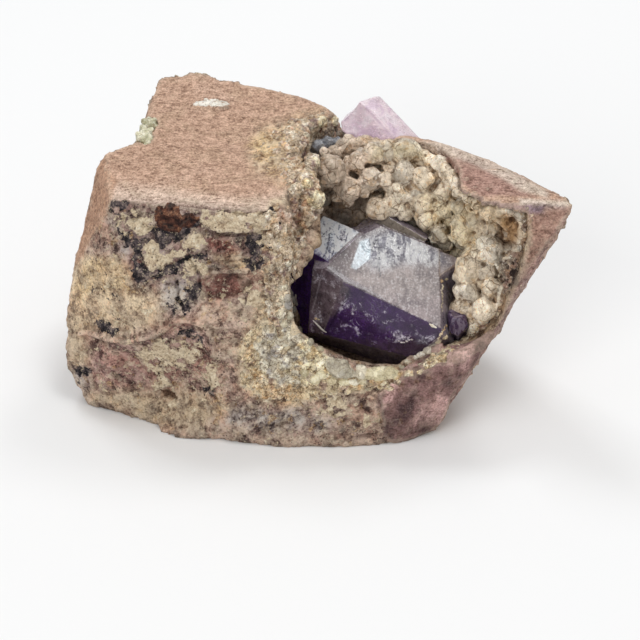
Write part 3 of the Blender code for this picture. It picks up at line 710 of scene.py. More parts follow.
# Where the large crystal's foot shows over the lower lip, in pixels.
FOOT = [(289, 312), (294, 325), (303, 335), (314, 344), (334, 353), (354, 361), (376, 365), (399, 366), (416, 352), (441, 333)]


def build_rock():
    rng = np.random.default_rng(11)
    cad_v, cad_f = arrays(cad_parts["matrix_rock"])
    bvh = tree(cad_v, cad_f)
    crust = tree(*arrays(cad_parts["nodular_lining"]))
    bodies = [(cad_v, cad_f)]
    for u0, w0, r0 in SHOULDERS:
        ray = Vector(sight(u0, w0))
        hits = [t.ray_cast(Vector(EYE), ray) for t in (bvh, crust)]
        hits = [h for h in hits if h[0] is not None]
        if not hits:
            continue
        at, far = min(((h[0], h[3]) for h in hits), key=lambda pair: pair[1])
        radius = r0 * far / FOCAL
        bodies.append(blocky(np.array(at) + np.array(ray) * radius * 0.55, radius * 1.25, rng, 16))
    for u0, w0, r0 in OVERHANG:
        beside = bvh.ray_cast(Vector(EYE), Vector(sight(281 if w0 > 205 else 286, w0)))
        if beside[0] is not None:
            radius = r0 * beside[3] / FOCAL
            bodies.append(blocky(np.array(EYE) + np.array(sight(u0, w0)) * (beside[3] + radius * 0.8), radius * 1.12, rng, 14))
    bodies.append(blocky(np.array([-27.0, 26.5, 60.2]), 1.0, rng, 8, detail=2))
    bodies[-1] = ((bodies[-1][0] - (-27.0, 26.5, 60.2)) * (5.3, 2.7, 2.7) + (-27.0, 26.5, 59.9), bodies[-1][1])
    v, q = voxels(*joined(bodies), ROCK_VOXEL)
    v, q = biggest(v, q)
    v = snap(v, bvh, 0.55)
    # the lower lip is pressed down until the crystal's foot shows over it
    u, w = pixels(v)
    us, ws = zip(*FOOT)
    low = np.interp(u, us, ws)
    above = np.clip(low - w, 0, 40) * ease(286, 296, u) * (1 - ease(436, 444, u)) * (v[:, 1] < -9) * (v[:, 2] > 12)
    v[:, 2] -= above * 0.30 * 0.92
    e = edges_of(q)
    v = v + 0.25 * (spread(v, e, 1) - v)
    n = normals(v, q)
    u, w = pixels(v)
    facing = n @ BACK
    # inside the vug, where the crust lies on the rock
    lining = tree(*arrays(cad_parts["nodular_lining"]))
    under = np.array([lining.find_nearest(p, 1.4)[0] is not None for p in v.tolist()])
    in_vug = np.zeros(len(v))
    box_lo, box_hi = np.array([-11.0, -22.0, 10.0]), np.array([50.0, 22.0, 57.0])
    core = np.all((v > box_lo) & (v < box_hi), axis=1)
    to_middle = np.array([17.0, -14.0, 42.0]) - v
    inward = (to_middle * n).sum(1) / np.linalg.norm(to_middle, axis=1)
    in_vug[core & (inward > 0.15)] = 1.0
    in_vug = spread(in_vug, e, 3)

    seen = ease(0.02, 0.22, facing) * (1 - in_vug) * (v[:, 1] < 30)
    top = ease(0.62, 0.74, n[:, 2]) * ease(50.0, 53.0, v[:, 2])
    wobble = 2.4 * fractal(v, 4.0, 3, seed=3)
    wobble2 = 2.4 * fractal(v, 4.0, 3, seed=4)
    uu, ww = u + wobble, w + wobble2

    def mark(outlines, soft=3.0, grow=0.0, where=None):
        where = seen if where is None else where
        out = np.zeros(len(v))
        near = where > 0.01
        for outline in outlines:
            out[near] = np.maximum(out[near], patch(uu[near], ww[near], outline, soft, grow))
        return out * where

    def line(points, width, soft=2.0):
        out = np.zeros(len(v))
        near = seen > 0.01
        out[near] = stroke(u[near], w[near], points, width, soft)
        return out * seen

    front = seen * (1 - top)
    rust = mark([RUST], 1.6, 0.5) * (1 - 0.3 * mark([RUST_CORE], 2.0))
    stain = np.maximum(mark(STAINS, 4.5, 0.5), mark([RUST_CORE], 2.5))
    stain = np.maximum(stain, 0.55 * mark(FAINT_STAINS, 6.0))
    cream = np.maximum(mark(CREAMS, 4.5, 0.3), 0.62 * mark(FAINT_CREAMS, 7.0))
    crusted = mark(CRUSTED, 6.0)
    top_crust = mark([TOP_CRUST], 12.0, 2.0)
    ochre = mark(OCHRES, 7.0)
    red = mark(REDS, 5.0)
    purple = mark(PURPLES, 9.0)
    grey = mark(GREYS, 8.0)
    tan = mark(TANS, 8.0)
    scar = mark([SCAR_FACE], 1.6)
    rim = line(RIM_LINE, 1.5, 1.6)
    sliver = mark([SLIVER], 3.0)
    rear_flat = mark([REAR_FLAT], 3.0)
    rear_ridge = mark([REAR_RIDGE], 3.0)
    right = ease(26.0, 34.0, v[:, 0]) * front
    lens = mark([LENS_DISH], 3.0)

    # what the camera doesn't see: patches of the same kinds, laid out by noise
    hidden = (1 - ease(0.0, 0.2, facing)) * (1 - in_vug)
    big = fractal(v, 26.0, 3, seed=21)
    mid = fractal(v, 11.0, 4, seed=22)
    fresh_back = ease(-0.12, 0.22, big)
    rear_cream = hidden * ease(0.10, 0.34, mid + 0.4 * fractal(v, 5.0, 3, seed=23)) * (1 - 0.8 * fresh_back)
    rear_stain = hidden * ease(0.14, 0.36, fractal(v, 9.0, 4, seed=24)) * (1 - 0.7 * fresh_back)
    rear_rust = hidden * ease(0.30, 0.5, fractal(v, 13.0, 3, seed=25)) * (1 - fresh_back)
    rear_ochre = hidden * ease(0.05, 0.4, fractal(v, 17.0, 3, seed=26))
    rear_red = hidden * ease(0.1, 0.4, fractal(v, 19.0, 3, seed=27))
    rear_grey = hidden * ease(0.12, 0.4, fractal(v, 15.0, 3, seed=28))
    base = ease(0.6, 0.9, -n[:, 2])

    weathered = np.clip(front * (1 - 0.25 * right) * (1 - 0.85 * sliver) + hidden * (1 - 0.75 * fresh_back), 0, 1)
    weathered = np.clip(weathered + 0.9 * crusted + 0.8 * top_crust, 0, 1)
    weathered *= 1 - np.clip(0.8 * rear_flat + 0.6 * rear_ridge, 0, 1)
    right_fresh = mark([RIGHT_FRESH], 5.0)
    weathered *= 1 - 0.72 * right_fresh
    slab = mark([SLAB], 1.2)
    weathered *= (1 - 0.78 * slab) * (1 - 0.25 * lens) * (1 - 0.35 * tan)
    weathered = np.maximum(weathered, in_vug * 0.9)

    # --- relief
    big_relief = 0.50 * fractal(v, 15.0, 3, seed=31) + 0.35 * fractal(v, 5.5, 3, seed=32)
    rough_relief = 0.42 * fractal(v, 3.6, 4, 0.6, seed=33, ridged=True) + 0.22 * fractal(v, 1.8, 2, 0.6, seed=34)
    along = v * np.array([0.35, 1.0, 1.0])
    smooth_relief = 0.10 * fractal(along, 4.0, 3, seed=35) + 0.05 * fractal(along, 1.8, 2, seed=36)
    move = np.where(top > 0.5, 0.40, 1.0) * big_relief
    move += weathered * rough_relief + (1 - weathered) * smooth_relief
    near1, near2, name = cells(v, 2.3, seed=41)
    near1b, near2b, nameb = cells(v, 1.5, seed=42)
    move += crusted * (0.2 + 0.7 * (0.5 - near1) + 0.5 * (0.45 - near1b))
    move += top_crust * (0.25 * (0.5 - near1) + 0.45 * (0.45 - near1b))
    ragged = fractal(v, 2.8, 4, 0.62, seed=43)
    flakes = ease(0.40, 0.52, cream + 0.7 * ragged) * (cream > 0.05)
    rear_flakes = ease(0.40, 0.52, rear_cream + 0.7 * ragged) * (rear_cream > 0.05)
    move += 0.40 * np.maximum(flakes, rear_flakes)
    # stepped breaks, where the rock has spalled off in thin sheets
    terrace = fractal(v * np.array([0.6, 1.0, 1.3]), 8.0, 4, 0.55, seed=45) * 5.0
    level = np.floor(terrace) + ease(0.42, 0.58, terrace - np.floor(terrace))
    move += 0.42 * level * weathered * (1 - crusted) * (1 - 0.6 * scar) * 0.8
    pits = np.clip(0.30 - near1b, 0, 1) * ease(0.55, 0.8, nameb)
    move -= 2.6 * pits * weathered * (1 - crusted)
    move -= 0.40 * ease(0.3, 0.6, stain) + 0.9 * lens
    for points, width in CRACKS:
        move -= 1.1 * line(points, width, 1.6)
    for points in RIDGES:
        move += 0.9 * line(points, 0.8, 2.0)
    # the curved step: a lip above, the scar cut in below it
    move += 0.85 * rim - 0.60 * scar * (1 - rim)
    # a smooth slab at the lower right stands proud of the face beside it
    move += 0.85 * slab
    # a half-moon hollow low on the front, and a groove under the top's front edge
    move -= 1.5 * mark([NICK], 1.5)
    undercut = line([(176, 203.5), (196, 206), (214, 209), (240, 213.5), (262, 213), (280, 210)], 0.7, 1.6)
    move -= 1.0 * undercut
    # chipped edges
    edge = np.clip(-hollowness(v, q, e, 6), 0, 1.2)
    chips = np.clip(fractal(v, 4.2, 3, 0.6, seed=44) - 0.05, 0, 1)
    move -= edge * (0.05 + 2.4 * chips) * (1 - crusted)
    # the socket walls under the crust keep their clearance
    added = np.array([bvh.find_nearest(p, 0.8)[0] is None for p in v.tolist()])
    keep = np.where(under & ~added, 0.0, 1.0) * (1 - 0.55 * in_vug)
    keep = np.minimum(keep, spread(keep, e, 4))
    flat_base = (v[:, 2] < 0.4)
    move = move * keep
    v = v + n * move[:, None]
    v[:, 2] = np.where(flat_base, 0.06 + 0.25 * np.clip(-move, 0, 1), np.maximum(v[:, 2], 0.05))
    n = normals(v, q)
    hollow = hollowness(v, q, e, 3)
    hollow_wide = hollowness(v, q, e, 14)

    # --- colour
    count = len(v)
    tone = np.empty((count, 3))
    tone[:] = srgb(184, 150, 128)  # the pinkish-brown fracture

    def tint(weight, colour, amount=1.0):
        w3 = np.clip(weight * amount, 0, 1)[:, None]
        tone[:] = tone * (1 - w3) + np.array(srgb(*colour)) * w3

    shade = fractal(v, 12.0, 3, seed=51)
    tint(ease(0.0, 0.5, shade), (176, 142, 120), 0.7)
    tint(ease(0.0, 0.5, -shade), (196, 164, 144), 0.6)
    near_edge = top * line([(111, 198), (130, 201), (160, 202), (190, 208), (240, 213), (270, 211), (300, 204)], 5.0, 18.0)
    tint(near_edge, (208, 184, 166), 0.85)
    tint(front * (1 - sliver), (188, 160, 142), 1.0)
    tint(mark([GRIMY], 8.0), (138, 118, 114), 0.8)
    tint(hidden, (178, 148, 132), 0.9)
    tint(right, (172, 140, 134), 0.9)
    tint(tan, (216, 192, 160), 0.95)
    tint(grey, (176, 168, 162), 0.75)
    tint(crusted, (204, 186, 152), 0.85)
    tint(top_crust, (204, 178, 144), 0.7)
    tint(ochre, (214, 186, 142), 0.6)
    tint(red, (146, 92, 80), 0.85)
    tint(purple, (160, 124, 118), 0.85)
    tint(scar, (182, 150, 138), 0.85)
    tint(mark([SCAR_RED], 9.0), (166, 130, 122), 0.7)
    # the rim band: fresh-break pink, lightened by a painted highlight where the lip faces up
    tint(rim, (204, 168, 148), 0.9)
    tint(sliver, (178, 138, 112), 0.85)
    tint(rear_flat, (158, 122, 110), 0.9)
    tint(rear_ridge, (200, 182, 168), 0.9)
    tint(right_fresh, (160, 124, 108), 0.9)
    tint(lens, (120, 82, 74), 0.75)
    tint(slab, (128, 96, 92), 0.92)
    mottle = fractal(v * np.array([1.0, 1.0, 0.5]), 6.0, 4, 0.6, seed=52)
    tint(slab * ease(0.02, 0.26, mottle), (206, 166, 160), 0.85)
    tint(slab * ease(0.02, 0.26, -mottle), (80, 56, 58), 0.85)
    tint(line([(380, 394), (383, 414), (388, 432), (396, 441)], 1.4, 2.2), (84, 60, 60), 0.6)
    tint(mark([RIGHT_STRIP], 2.0), (216, 200, 186), 0.85)
    tint(mark([DARK_RIGHT], 3.0), (84, 60, 54), 0.9)
    tint(mark([VIOLET_RIGHT], 4.0), (150, 132, 146), 0.8)
    tint(rear_ochre, (200, 164, 120), 0.5)
    tint(rear_red, (150, 104, 90), 0.55)
    tint(rear_grey, (148, 140, 134), 0.5)
    tint(in_vug, (160, 138, 110), 0.85)
    dark_break = np.zeros(count)
    near = (facing > 0.0) & (v[:, 0] > 25.0)
    dark_break[near] = patch(uu[near], ww[near], DARK_RIGHT, 3.0)
    tint(dark_break, (70, 50, 46), 0.96)
    tint(mark([RUST_CORE], 2.5), (66, 48, 46), 0.8)
    tint(tan * ease(298, 322, w), (184, 162, 136), 0.75)
    tint(mark([SCAR_FLECKS], 9.0), (140, 104, 94), 0.5)
    tone[:] *= (1 - 0.14 * front * ease(392, 412, w) * (1 - right))[:, None]
    tint(base, (166, 140, 122), 0.4)
    tint(mark([NICK], 1.5), (110, 78, 58), 0.7)

    bias = np.full(count, 0.5)
    bias += 0.05 * tan + 0.08 * crusted + 0.05 * top_crust - 0.05 * red - 0.04 * scar - 0.05 * right - 0.25 * mark([DARK_RIGHT], 3.0)
    flecks = np.clip(0.30 * weathered + 0.55 * mark([SCAR_FLECKS], 9.0) + 0.35 * crusted + 0.45 * right * (1 - 0.6 * slab), 0, 1)
    flecks *= 1 - dark_break
    bias -= 0.20 * dark_break
    clear = 1 - dark_break
    masks_a = np.stack([weathered, np.clip(cream + 0.8 * rear_cream, 0, 1) * clear, np.clip(stain + 0.7 * rear_stain, 0, 1)], 1)
    masks_b = np.stack([np.clip(rust + rear_rust, 0, 1), np.clip(ochre + 0.5 * crusted + 0.6 * top_crust + rear_ochre * 0.6, 0, 1) * clear, np.clip(crusted + 0.9 * top_crust, 0, 1) * clear], 1)
    masks_c = np.stack([bias, np.clip(0.5 + 1.6 * hollow, 0, 1), np.clip(0.5 + 0.8 * hollow_wide, 0, 1)], 1)
    masks_d = np.stack([flecks, right, np.clip(near_edge + sliver, 0, 1)], 1)
    return v, q, tone, masks_a, masks_b, masks_c, masks_d


def rock_material():
    m = Nodes("volcanic_rock")
    tone = m.attribute("tone", "Color")
    weathered, cream, stain = m.split(m.attribute("masks_a", "Color"))[:3]
    rust, ochre, crusted = m.split(m.attribute("masks_b", "Color"))[:3]
    bias, hollow, wide = m.split(m.attribute("masks_c", "Color"))[:3]
    flecks, right, pale = m.split(m.attribute("masks_d", "Color"))[:3]

    coarse = m.sigma(4.0, 8.0, 0.57, seed=1.0)
    crumb = m.sigma(1.3, 6.0, 0.62, seed=2.0)
    grain = m.sigma(0.50, 3.0, 0.7, seed=3.0)
    wash = m.sigma(6.0, 5.0, 0.62, 0.5, seed=9.0)
    laid = m.stretched((0.42, 1.0, 1.0), (0.0, 0.12, 0.42))
    streak = m.sigma(0.62, 4.0, 0.68, 0.15, laid, seed=4.0)
    crossed = m.sigma(0.55, 3.0, 0.6, 0.1, m.stretched((0.24, 1.0, 0.6), (0.3, -0.3, -0.75)), seed=16.0)

    # fresh fracture: an even pinkish brown with a fine crisp grain, short scratches and faint streaks
    fine = m.sum((grain, 0.66), (streak, 0.36), (crumb, 0.42), (crossed, 0.24))
    fresh = m.mix(1.0, tone, m.ramp(m.math("MULTIPLY_ADD", fine, 0.16, 0.5), (0.12, (0.42, 0.38, 0.36)), (0.34, (0.78, 0.75, 0.73)), (0.50, (1.0, 1.0, 1.0)), (0.68, (1.20, 1.22, 1.24)), (0.92, (1.62, 1.68, 1.72))), "MULTIPLY")
    fresh = m.mix(m.times(m.step(wash, 0.2, 1.6), 0.35), fresh, m.mix(1.0, fresh, (0.90, 0.96, 0.90), "MULTIPLY"))
    hair = m.step(m.math("ABSOLUTE", m.math("ADD", crossed, -0.9)), 0.16, 0.04)
    fresh = m.mix(m.times(hair, 0.32), fresh, srgb(226, 206, 190))

    # weathered: strong crisp mottling round the regional colour
    index = m.sum((coarse, 0.66), (crumb, 0.48), (grain, 0.34))
    index = m.math("MULTIPLY_ADD", index, 0.250, bias)
    shades = m.ramp(
        index,
        (0.08, (0.22, 0.18, 0.19)),
        (0.24, (0.48, 0.42, 0.42)),
        (0.38, (0.78, 0.74, 0.73)),
        (0.52, (0.98, 0.97, 0.96)),
        (0.66, (1.26, 1.27, 1.25)),
        (0.86, (1.62, 1.68, 1.68)),
    )
    worn = m.mix(1.0, tone, shades, "MULTIPLY")
    worn = m.mix(m.times(m.step(wash, 0.5, 0.9), 0.45), worn, m.mix(1.0, worn, (1.0, 0.80, 0.74), "MULTIPLY"))
    worn = m.mix(m.times(m.step(wash, -0.6, -1.0), 0.50), worn, m.mix(1.0, worn, (0.86, 0.90, 0.98), "MULTIPLY"))
    tawny = m.sum((m.sigma(2.6, 7.0, 0.6, seed=12.0), 1.0), (ochre, 1.15), -1.95)
    worn = m.mix(m.times(m.step(tawny, -0.08, 0.2), 0.55), worn, m.ramp(m.math("MULTIPLY_ADD", grain, 0.16, 0.5), (0.25, srgb(138, 98, 62)), (0.5, srgb(198, 158, 108)), (0.75, srgb(226, 198, 148))))
    # grey-violet grime and pale dust, in broader patches
    grime = m.step(m.sigma(5.2, 9.0, 0.62, seed=17.0), 0.25, 1.0)
    worn = m.mix(m.times(grime, 0.55), worn, m.mix(1.0, worn, (0.58, 0.54, 0.57), "MULTIPLY"))
    dust = m.step(m.sigma(4.2, 9.0, 0.64, seed=18.0), 0.55, 1.1)
    worn = m.mix(m.times(dust, 0.40), worn, m.ramp(m.math("MULTIPLY_ADD", crumb, 0.16, 0.5), (0.2, srgb(168, 144, 122)), (0.8, srgb(236, 220, 196))))
    colour = m.mix(weathered, fresh, worn)

    # the black-brown film
    film = m.sum((m.sigma(3.6, 8.0, 0.58, seed=7.0), 0.62), (crumb, -0.22), (stain, 3.8), -2.0)
    black = m.times(m.step(film, -0.05, 0.22), m.step(weathered, 0.3, 0.6))
    colour = m.mix(black, colour, m.ramp(m.math("MULTIPLY_ADD", crumb, 0.16, 0.5), (0.15, srgb(28, 24, 30)), (0.42, srgb(58, 50, 54)), (0.62, srgb(96, 84, 84)), (0.85, srgb(150, 132, 122))))

    # rust
    rusty = m.sum((m.sigma(2.6, 8.0, 0.6, seed=6.0), 0.65), (rust, 5.4), -1.9)
    rusty = m.times(m.step(rusty, -0.05, 0.2), m.step(rust, 0.03, 0.2))
    colour = m.mix(rusty, colour, m.ramp(m.math("MULTIPLY_ADD", crumb, 0.16, 0.5), (0.15, srgb(32, 18, 18)), (0.45, srgb(66, 37, 29)), (0.7, srgb(106, 64, 46)), (0.9, srgb(156, 110, 80))))

    # pale crust that has partly flaked away
    cover = m.sum((m.sigma(4.0, 10.0, 0.60, seed=10.0), 0.72), (m.sigma(1.3, 6.0, 0.62, seed=5.0), 0.45), (cream, 3.4), -1.85)
    crust = m.times(m.step(cover, -0.03, 0.16), m.step(weathered, 0.3, 0.6), m.step(rust, 0.55, 0.15))
    lace = m.step(cover, 0.60, 0.10)
    cream_colour = m.ramp(m.math("MULTIPLY_ADD", m.sum((crumb, 0.60), (grain, 0.60)), 0.13, 0.5), (0.08, srgb(130, 106, 86)), (0.28, srgb(190, 166, 138)), (0.50, srgb(224, 204, 172)), (0.70, srgb(240, 224, 196)), (0.9, srgb(250, 242, 224)))
    cream_colour = m.mix(m.times(lace, 0.30), cream_colour, srgb(204, 182, 152))
    colour = m.mix(crust, colour, cream_colour)

    # pale flecks
    tiny = m.sum((m.sigma(0.95, 5.0, 0.74, 0.2, seed=15.0), 1.0), (flecks, 1.3), -1.95)
    tiny = m.times(m.step(tiny, 0.0, 0.22), m.step(weathered, 0.2, 0.6), m.step(rust, 0.75, 0.25))
    colour = m.mix(m.times(tiny, 0.72), colour, m.mix(right, srgb(222, 204, 176), srgb(206, 176, 164)))

    # painted shade darkens the hollows; the edges are worn pale
    shade = m.step(hollow, 0.52, 0.80)
    colour = m.mix(m.times(shade, 0.55), colour, m.mix(1.0, colour, (0.34, 0.29, 0.26), "MULTIPLY"))
    wear = m.step(hollow, 0.47, 0.22)
    colour = m.mix(m.times(wear, m.math("MULTIPLY_ADD", m.math("MAXIMUM", black, rusty), -0.8, 1.0), 0.38), colour, m.mix(0.5, colour, srgb(232, 214, 190)))
    # small dark pits
    dots = m.cell(0.95, "F1", random=1.0)
    pits = m.times(m.step(dots, 0.26, 0.14), m.step(m.sigma(2.4, 3.0, seed=8.0), 0.0, 0.8))
    pits = m.times(pits, m.math("MULTIPLY_ADD", weathered, 0.8, 0.10))
    colour = m.mix(pits, colour, m.mix(1.0, colour, (0.24, 0.19, 0.19), "MULTIPLY"))

    height = m.sum((crumb, 0.10), (grain, 0.055))
    height = m.times(height, m.math("MULTIPLY_ADD", weathered, 0.75, 0.35))
    flat, number, gap = m.facets(3.4, m.warped(0.8, 2.6, 19.0), 0.55)
    height = m.sum(height, (coarse, 0.07), (streak, 0.035), (crust, 0.42), (black, -0.16), (pits, -0.5), (tiny, 0.12), (m.times(flat, weathered), 1.2))
    m.set(Base_Color=colour, Roughness=m.step(crumb, -2.0, 2.0, (0.92, 0.70)), Specular_IOR_Level=0.35, Normal=m.bump(height, 0.50, 0.95))
    return m.mat


rock_v, rock_q, tone, masks_a, masks_b, masks_c, masks_d = build_rock()
piece(
    "matrix_rock_surface",
    rock_v,
    rock_q,
    rock_material(),
    "matrix_rock",
    attributes=(("tone", tone), ("masks_a", masks_a), ("masks_b", masks_b), ("masks_c", masks_c), ("masks_d", masks_d)),
)


# --- What the lump pieces share ---------------------------------------------------------------------------
def owners(v, centres, radii):
    """Which lump each point belongs to."""
    out = np.empty(len(v), int)
    for i in range(0, len(v), 3000):
        d = np.linalg.norm(v[i : i + 3000, None] - centres[None], axis=2) - radii
        out[i : i + 3000] = d.argmin(1)
    return out


def shaded(v, q, e, tone, extra):
    """The tone and the masks that the lump materials read."""
    hollow = hollowness(v, q, e, 3)
    wide = hollowness(v, q, e, 12)
    return tone, np.stack([np.clip(0.5 + 1.5 * hollow, 0, 1), np.clip(0.5 + 0.7 * wide, 0, 1), extra], 1)


def lump_material(name, seed, ochre=(0.30, 0.22, 0.15), depth=0.30, spots=0.6, contrast=1.0, faced=0.0):
    """faced is how wide the small flat faces are, in millimetres."""
    m = Nodes(name)
    tone = m.attribute("tone", "Color")
    hollow, wide, glassy = m.split(m.attribute("masks", "Color"))[:3]
    blotch = m.sigma(1.9, 6.0, 0.60, seed=seed)
    speck = m.sigma(0.75, 5.0, 0.66, seed=seed + 1)
    grain = m.sigma(0.42, 2.0, 0.7, seed=seed + 2)
    index = m.math("MULTIPLY_ADD", m.sum((blotch, 0.60), (speck, 0.55), (grain, 0.40)), 0.15 * contrast, 0.5)
    colour = m.mix(1.0, tone, m.ramp(index, (0.10, (0.46, 0.42, 0.38)), (0.30, (0.76, 0.73, 0.70)), (0.48, (0.98, 0.97, 0.96)), (0.66, (1.14, 1.15, 1.16)), (0.88, (1.34, 1.38, 1.44))), "MULTIPLY")
    # ochre staining with painted shade in the creases, painted shade in the broad hollows, pale worn crests
    crease = m.step(m.sum(hollow, (blotch, 0.02)), 0.53, 0.72)
    colour = m.mix(m.times(crease, 0.78), colour, m.mix(1.0, colour, ochre, "MULTIPLY"))
    broad = m.step(wide, 0.56, 0.95)
    colour = m.mix(m.times(broad, 0.55), colour, m.mix(1.0, colour, (0.46, 0.36, 0.27), "MULTIPLY"))
    crest = m.step(hollow, 0.46, 0.24)
    colour = m.mix(m.times(crest, 0.32), colour, srgb(240, 232, 212))
    extra = []
    if faced:
        for size, strength in ((faced, 1.0), (faced * 0.55, 0.6)):
            height, number, gap = m.facets(size, m.warped(size * 0.12, size * 0.7, seed + size), 0.95)
            extra += [(height, strength / depth), (m.step(gap, 0.02, 0.12), 0.30 * strength)]
            colour = m.mix(1.0, colour, m.ramp(number, (0.1, (1.0 - 0.20 * strength,) * 3), (0.9, (1.0 + 0.14 * strength,) * 3)), "MULTIPLY")
            groove = m.times(m.step(gap, 0.048, 0.012), m.step(m.sigma(faced * 1.2, 4.0, 0.6, seed=seed + 7 + size), -0.5, 0.6))
            colour = m.mix(m.times(groove, 0.80 * strength), colour, m.mix(1.0, colour, (0.30, 0.22, 0.15), "MULTIPLY"))
    tawny = m.step(m.sigma(2.4, 6.0, 0.6, seed=seed + 4), 1.2, 1.5)
    colour = m.mix(m.times(tawny, 0.45), colour, m.mix(1.0, colour, (0.90, 0.68, 0.42), "MULTIPLY"))
    dots = m.times(m.step(m.cell(0.8), 0.24, 0.12), m.step(m.sigma(2.0, 3.0, seed=seed + 3), 0.2, 0.9))
    colour = m.mix(m.times(dots, spots), colour, m.mix(1.0, colour, (0.28, 0.22, 0.18), "MULTIPLY"))
    height = m.sum((speck, 0.10), (grain, 0.06), (blotch, 0.08), (dots, -0.35), *extra)
    height = m.times(height, m.math("MULTIPLY_ADD", glassy, -0.7, 1.0))
    rough = m.math("MULTIPLY_ADD", glassy, -0.45, m.step(speck, -2.0, 2.0, (0.86, 0.60)))
    m.set(Base_Color=colour, Roughness=rough, Specular_IOR_Level=0.45, Normal=m.bump(height, depth, 0.9))
    m.set(Subsurface_Weight=0.10, Subsurface_Radius=(0.6, 0.45, 0.3), Subsurface_Scale=0.0012)
    return m.mat


# --- The granular crust round the vug's left side and along its lower lip ------------------------------------
# Outline in pixels, how many lumps, their smallest and largest radius in millimetres, how flat, how deep, and the mix.
RIM_ZONES = [
    ([(266, 212), (300, 204), (318, 206), (312, 216), (306, 240), (298, 262), (292, 285), (296, 318), (276, 326), (264, 316), (266, 290), (262, 262), (264, 240)], 800, 0.32, 0.95, 0.75, 0.55, "mixed"),
    ([(246, 330), (262, 322), (262, 350), (266, 372), (300, 386), (330, 374), (352, 374), (400, 380), (398, 388), (352, 392), (300, 400), (262, 398), (240, 384)], 760, 0.32, 0.95, 0.75, 0.55, "ochre"),
    ([(263, 327.4), (280.4, 334.3), (301, 337.8), (306, 356), (300, 378), (280, 384), (262, 368), (256, 350)], 90, 0.9, 2.2, 0.62, 0.35, "grey"),
    ([(300, 336), (316, 348), (330, 362), (332, 374), (306, 382), (298, 362)], 80, 0.6, 1.7, 0.75, 0.3, "yellow"),
    ([(288, 120), (330, 122), (330, 130), (312, 136), (310, 152), (320, 156), (318, 165), (316, 178), (321, 192), (324, 202), (318, 213), (310, 222), (303, 240), (296, 260), (286, 270), (284, 240), (290, 200), (288, 160)], 620, 0.35, 1.25, 0.85, 0.35, "mixed"),
    ([(280, 286), (288, 286), (286, 310), (292, 326), (304, 342), (322, 354), (346, 364), (352, 370), (330, 374), (306, 362), (290, 344), (278, 320)], 240, 0.4, 1.1, 0.8, 0.35, "edge"),
    ([(318, 196), (345, 198), (374, 220), (362, 234), (345, 228), (330, 216), (318, 212)], 70, 0.9, 2.2, 0.85, 0.25, "shaded_cavity"),
    ([(322, 132), (340, 128), (364, 138), (360, 152), (340, 162), (322, 160)], 60, 0.5, 1.4, 0.85, 0.3, "shaded_cavity"),
    ([(276, 132), (300, 118), (326, 112), (332, 128), (322, 150), (318, 178), (318, 205), (296, 205), (282, 180), (274, 156)], 320, 0.3, 0.9, 0.7, 0.4, "top"),
    ([(258, 132), (290, 126), (292, 182), (264, 170), (254, 152)], 70, 0.22, 0.6, 0.6, 0.4, "top"),
    ([(398, 378), (420, 364), (440, 350), (462, 334), (478, 326), (470, 340), (440, 362), (420, 374)], 160, 0.3, 0.9, 0.7, 0.4, "ochre"),
    ([(462, 338), (482, 330), (500, 318), (508, 298), (516, 276), (521, 262), (528, 240), (532, 214), (526, 206), (520, 214), (520, 236), (512, 258), (500, 268), (498, 300), (494, 318), (478, 326)], 150, 0.3, 0.75, 0.7, 0.5, "brown"),
]
RIM_LARGE = [(316.5, 199, 8.6, "yellow"), (307.4, 184, 5.2, "yellow"), (312, 175, 4.5, "ochre"), (270, 330, 5.5, "edge"), (282, 314, 5, "edge"), (301, 222, 5, "yellow"), (289, 262, 4.5, "edge"), (318, 364, 6, "yellow"), (305, 366, 6.5, "yellow"), (312, 378, 6, "yellow"), (296, 384, 5, "edge"), (316, 162, 4.5, "yellow"), (322, 122, 5, "yellow"), (334, 121, 5.5, "yellow"), (306, 136, 4, "edge")]
# Each mix: the usual colour, and what it turns to in patches.
MIXES = {
    "mixed": ((202, 182, 156), (230, 218, 198), (180, 144, 114), (138, 112, 104)),
    "ochre": ((206, 186, 152), (226, 212, 184), (196, 160, 116), (156, 130, 112)),
    "grey": ((190, 180, 160), (210, 202, 182), (190, 174, 142), (156, 148, 140)),
    "yellow": ((222, 208, 174), (236, 228, 202), (206, 182, 138), (190, 174, 150)),
    "top": ((204, 180, 156), (228, 214, 196), (192, 156, 130), (176, 148, 132)),
    "edge": ((204, 192, 168), (230, 222, 204), (190, 168, 134), (152, 142, 132)),
    # lumps deep in the vug's dark hollow: colours darkened as painted shade
    "shaded_cavity": ((150, 134, 118), (182, 168, 150), (124, 108, 100), (98, 84, 84)),
    "brown": ((150, 120, 104), (190, 164, 140), (160, 116, 84), (104, 78, 70)),
}


def inside(u, w, outline):
    return patch(u, w, outline, 0.01) > 0.5


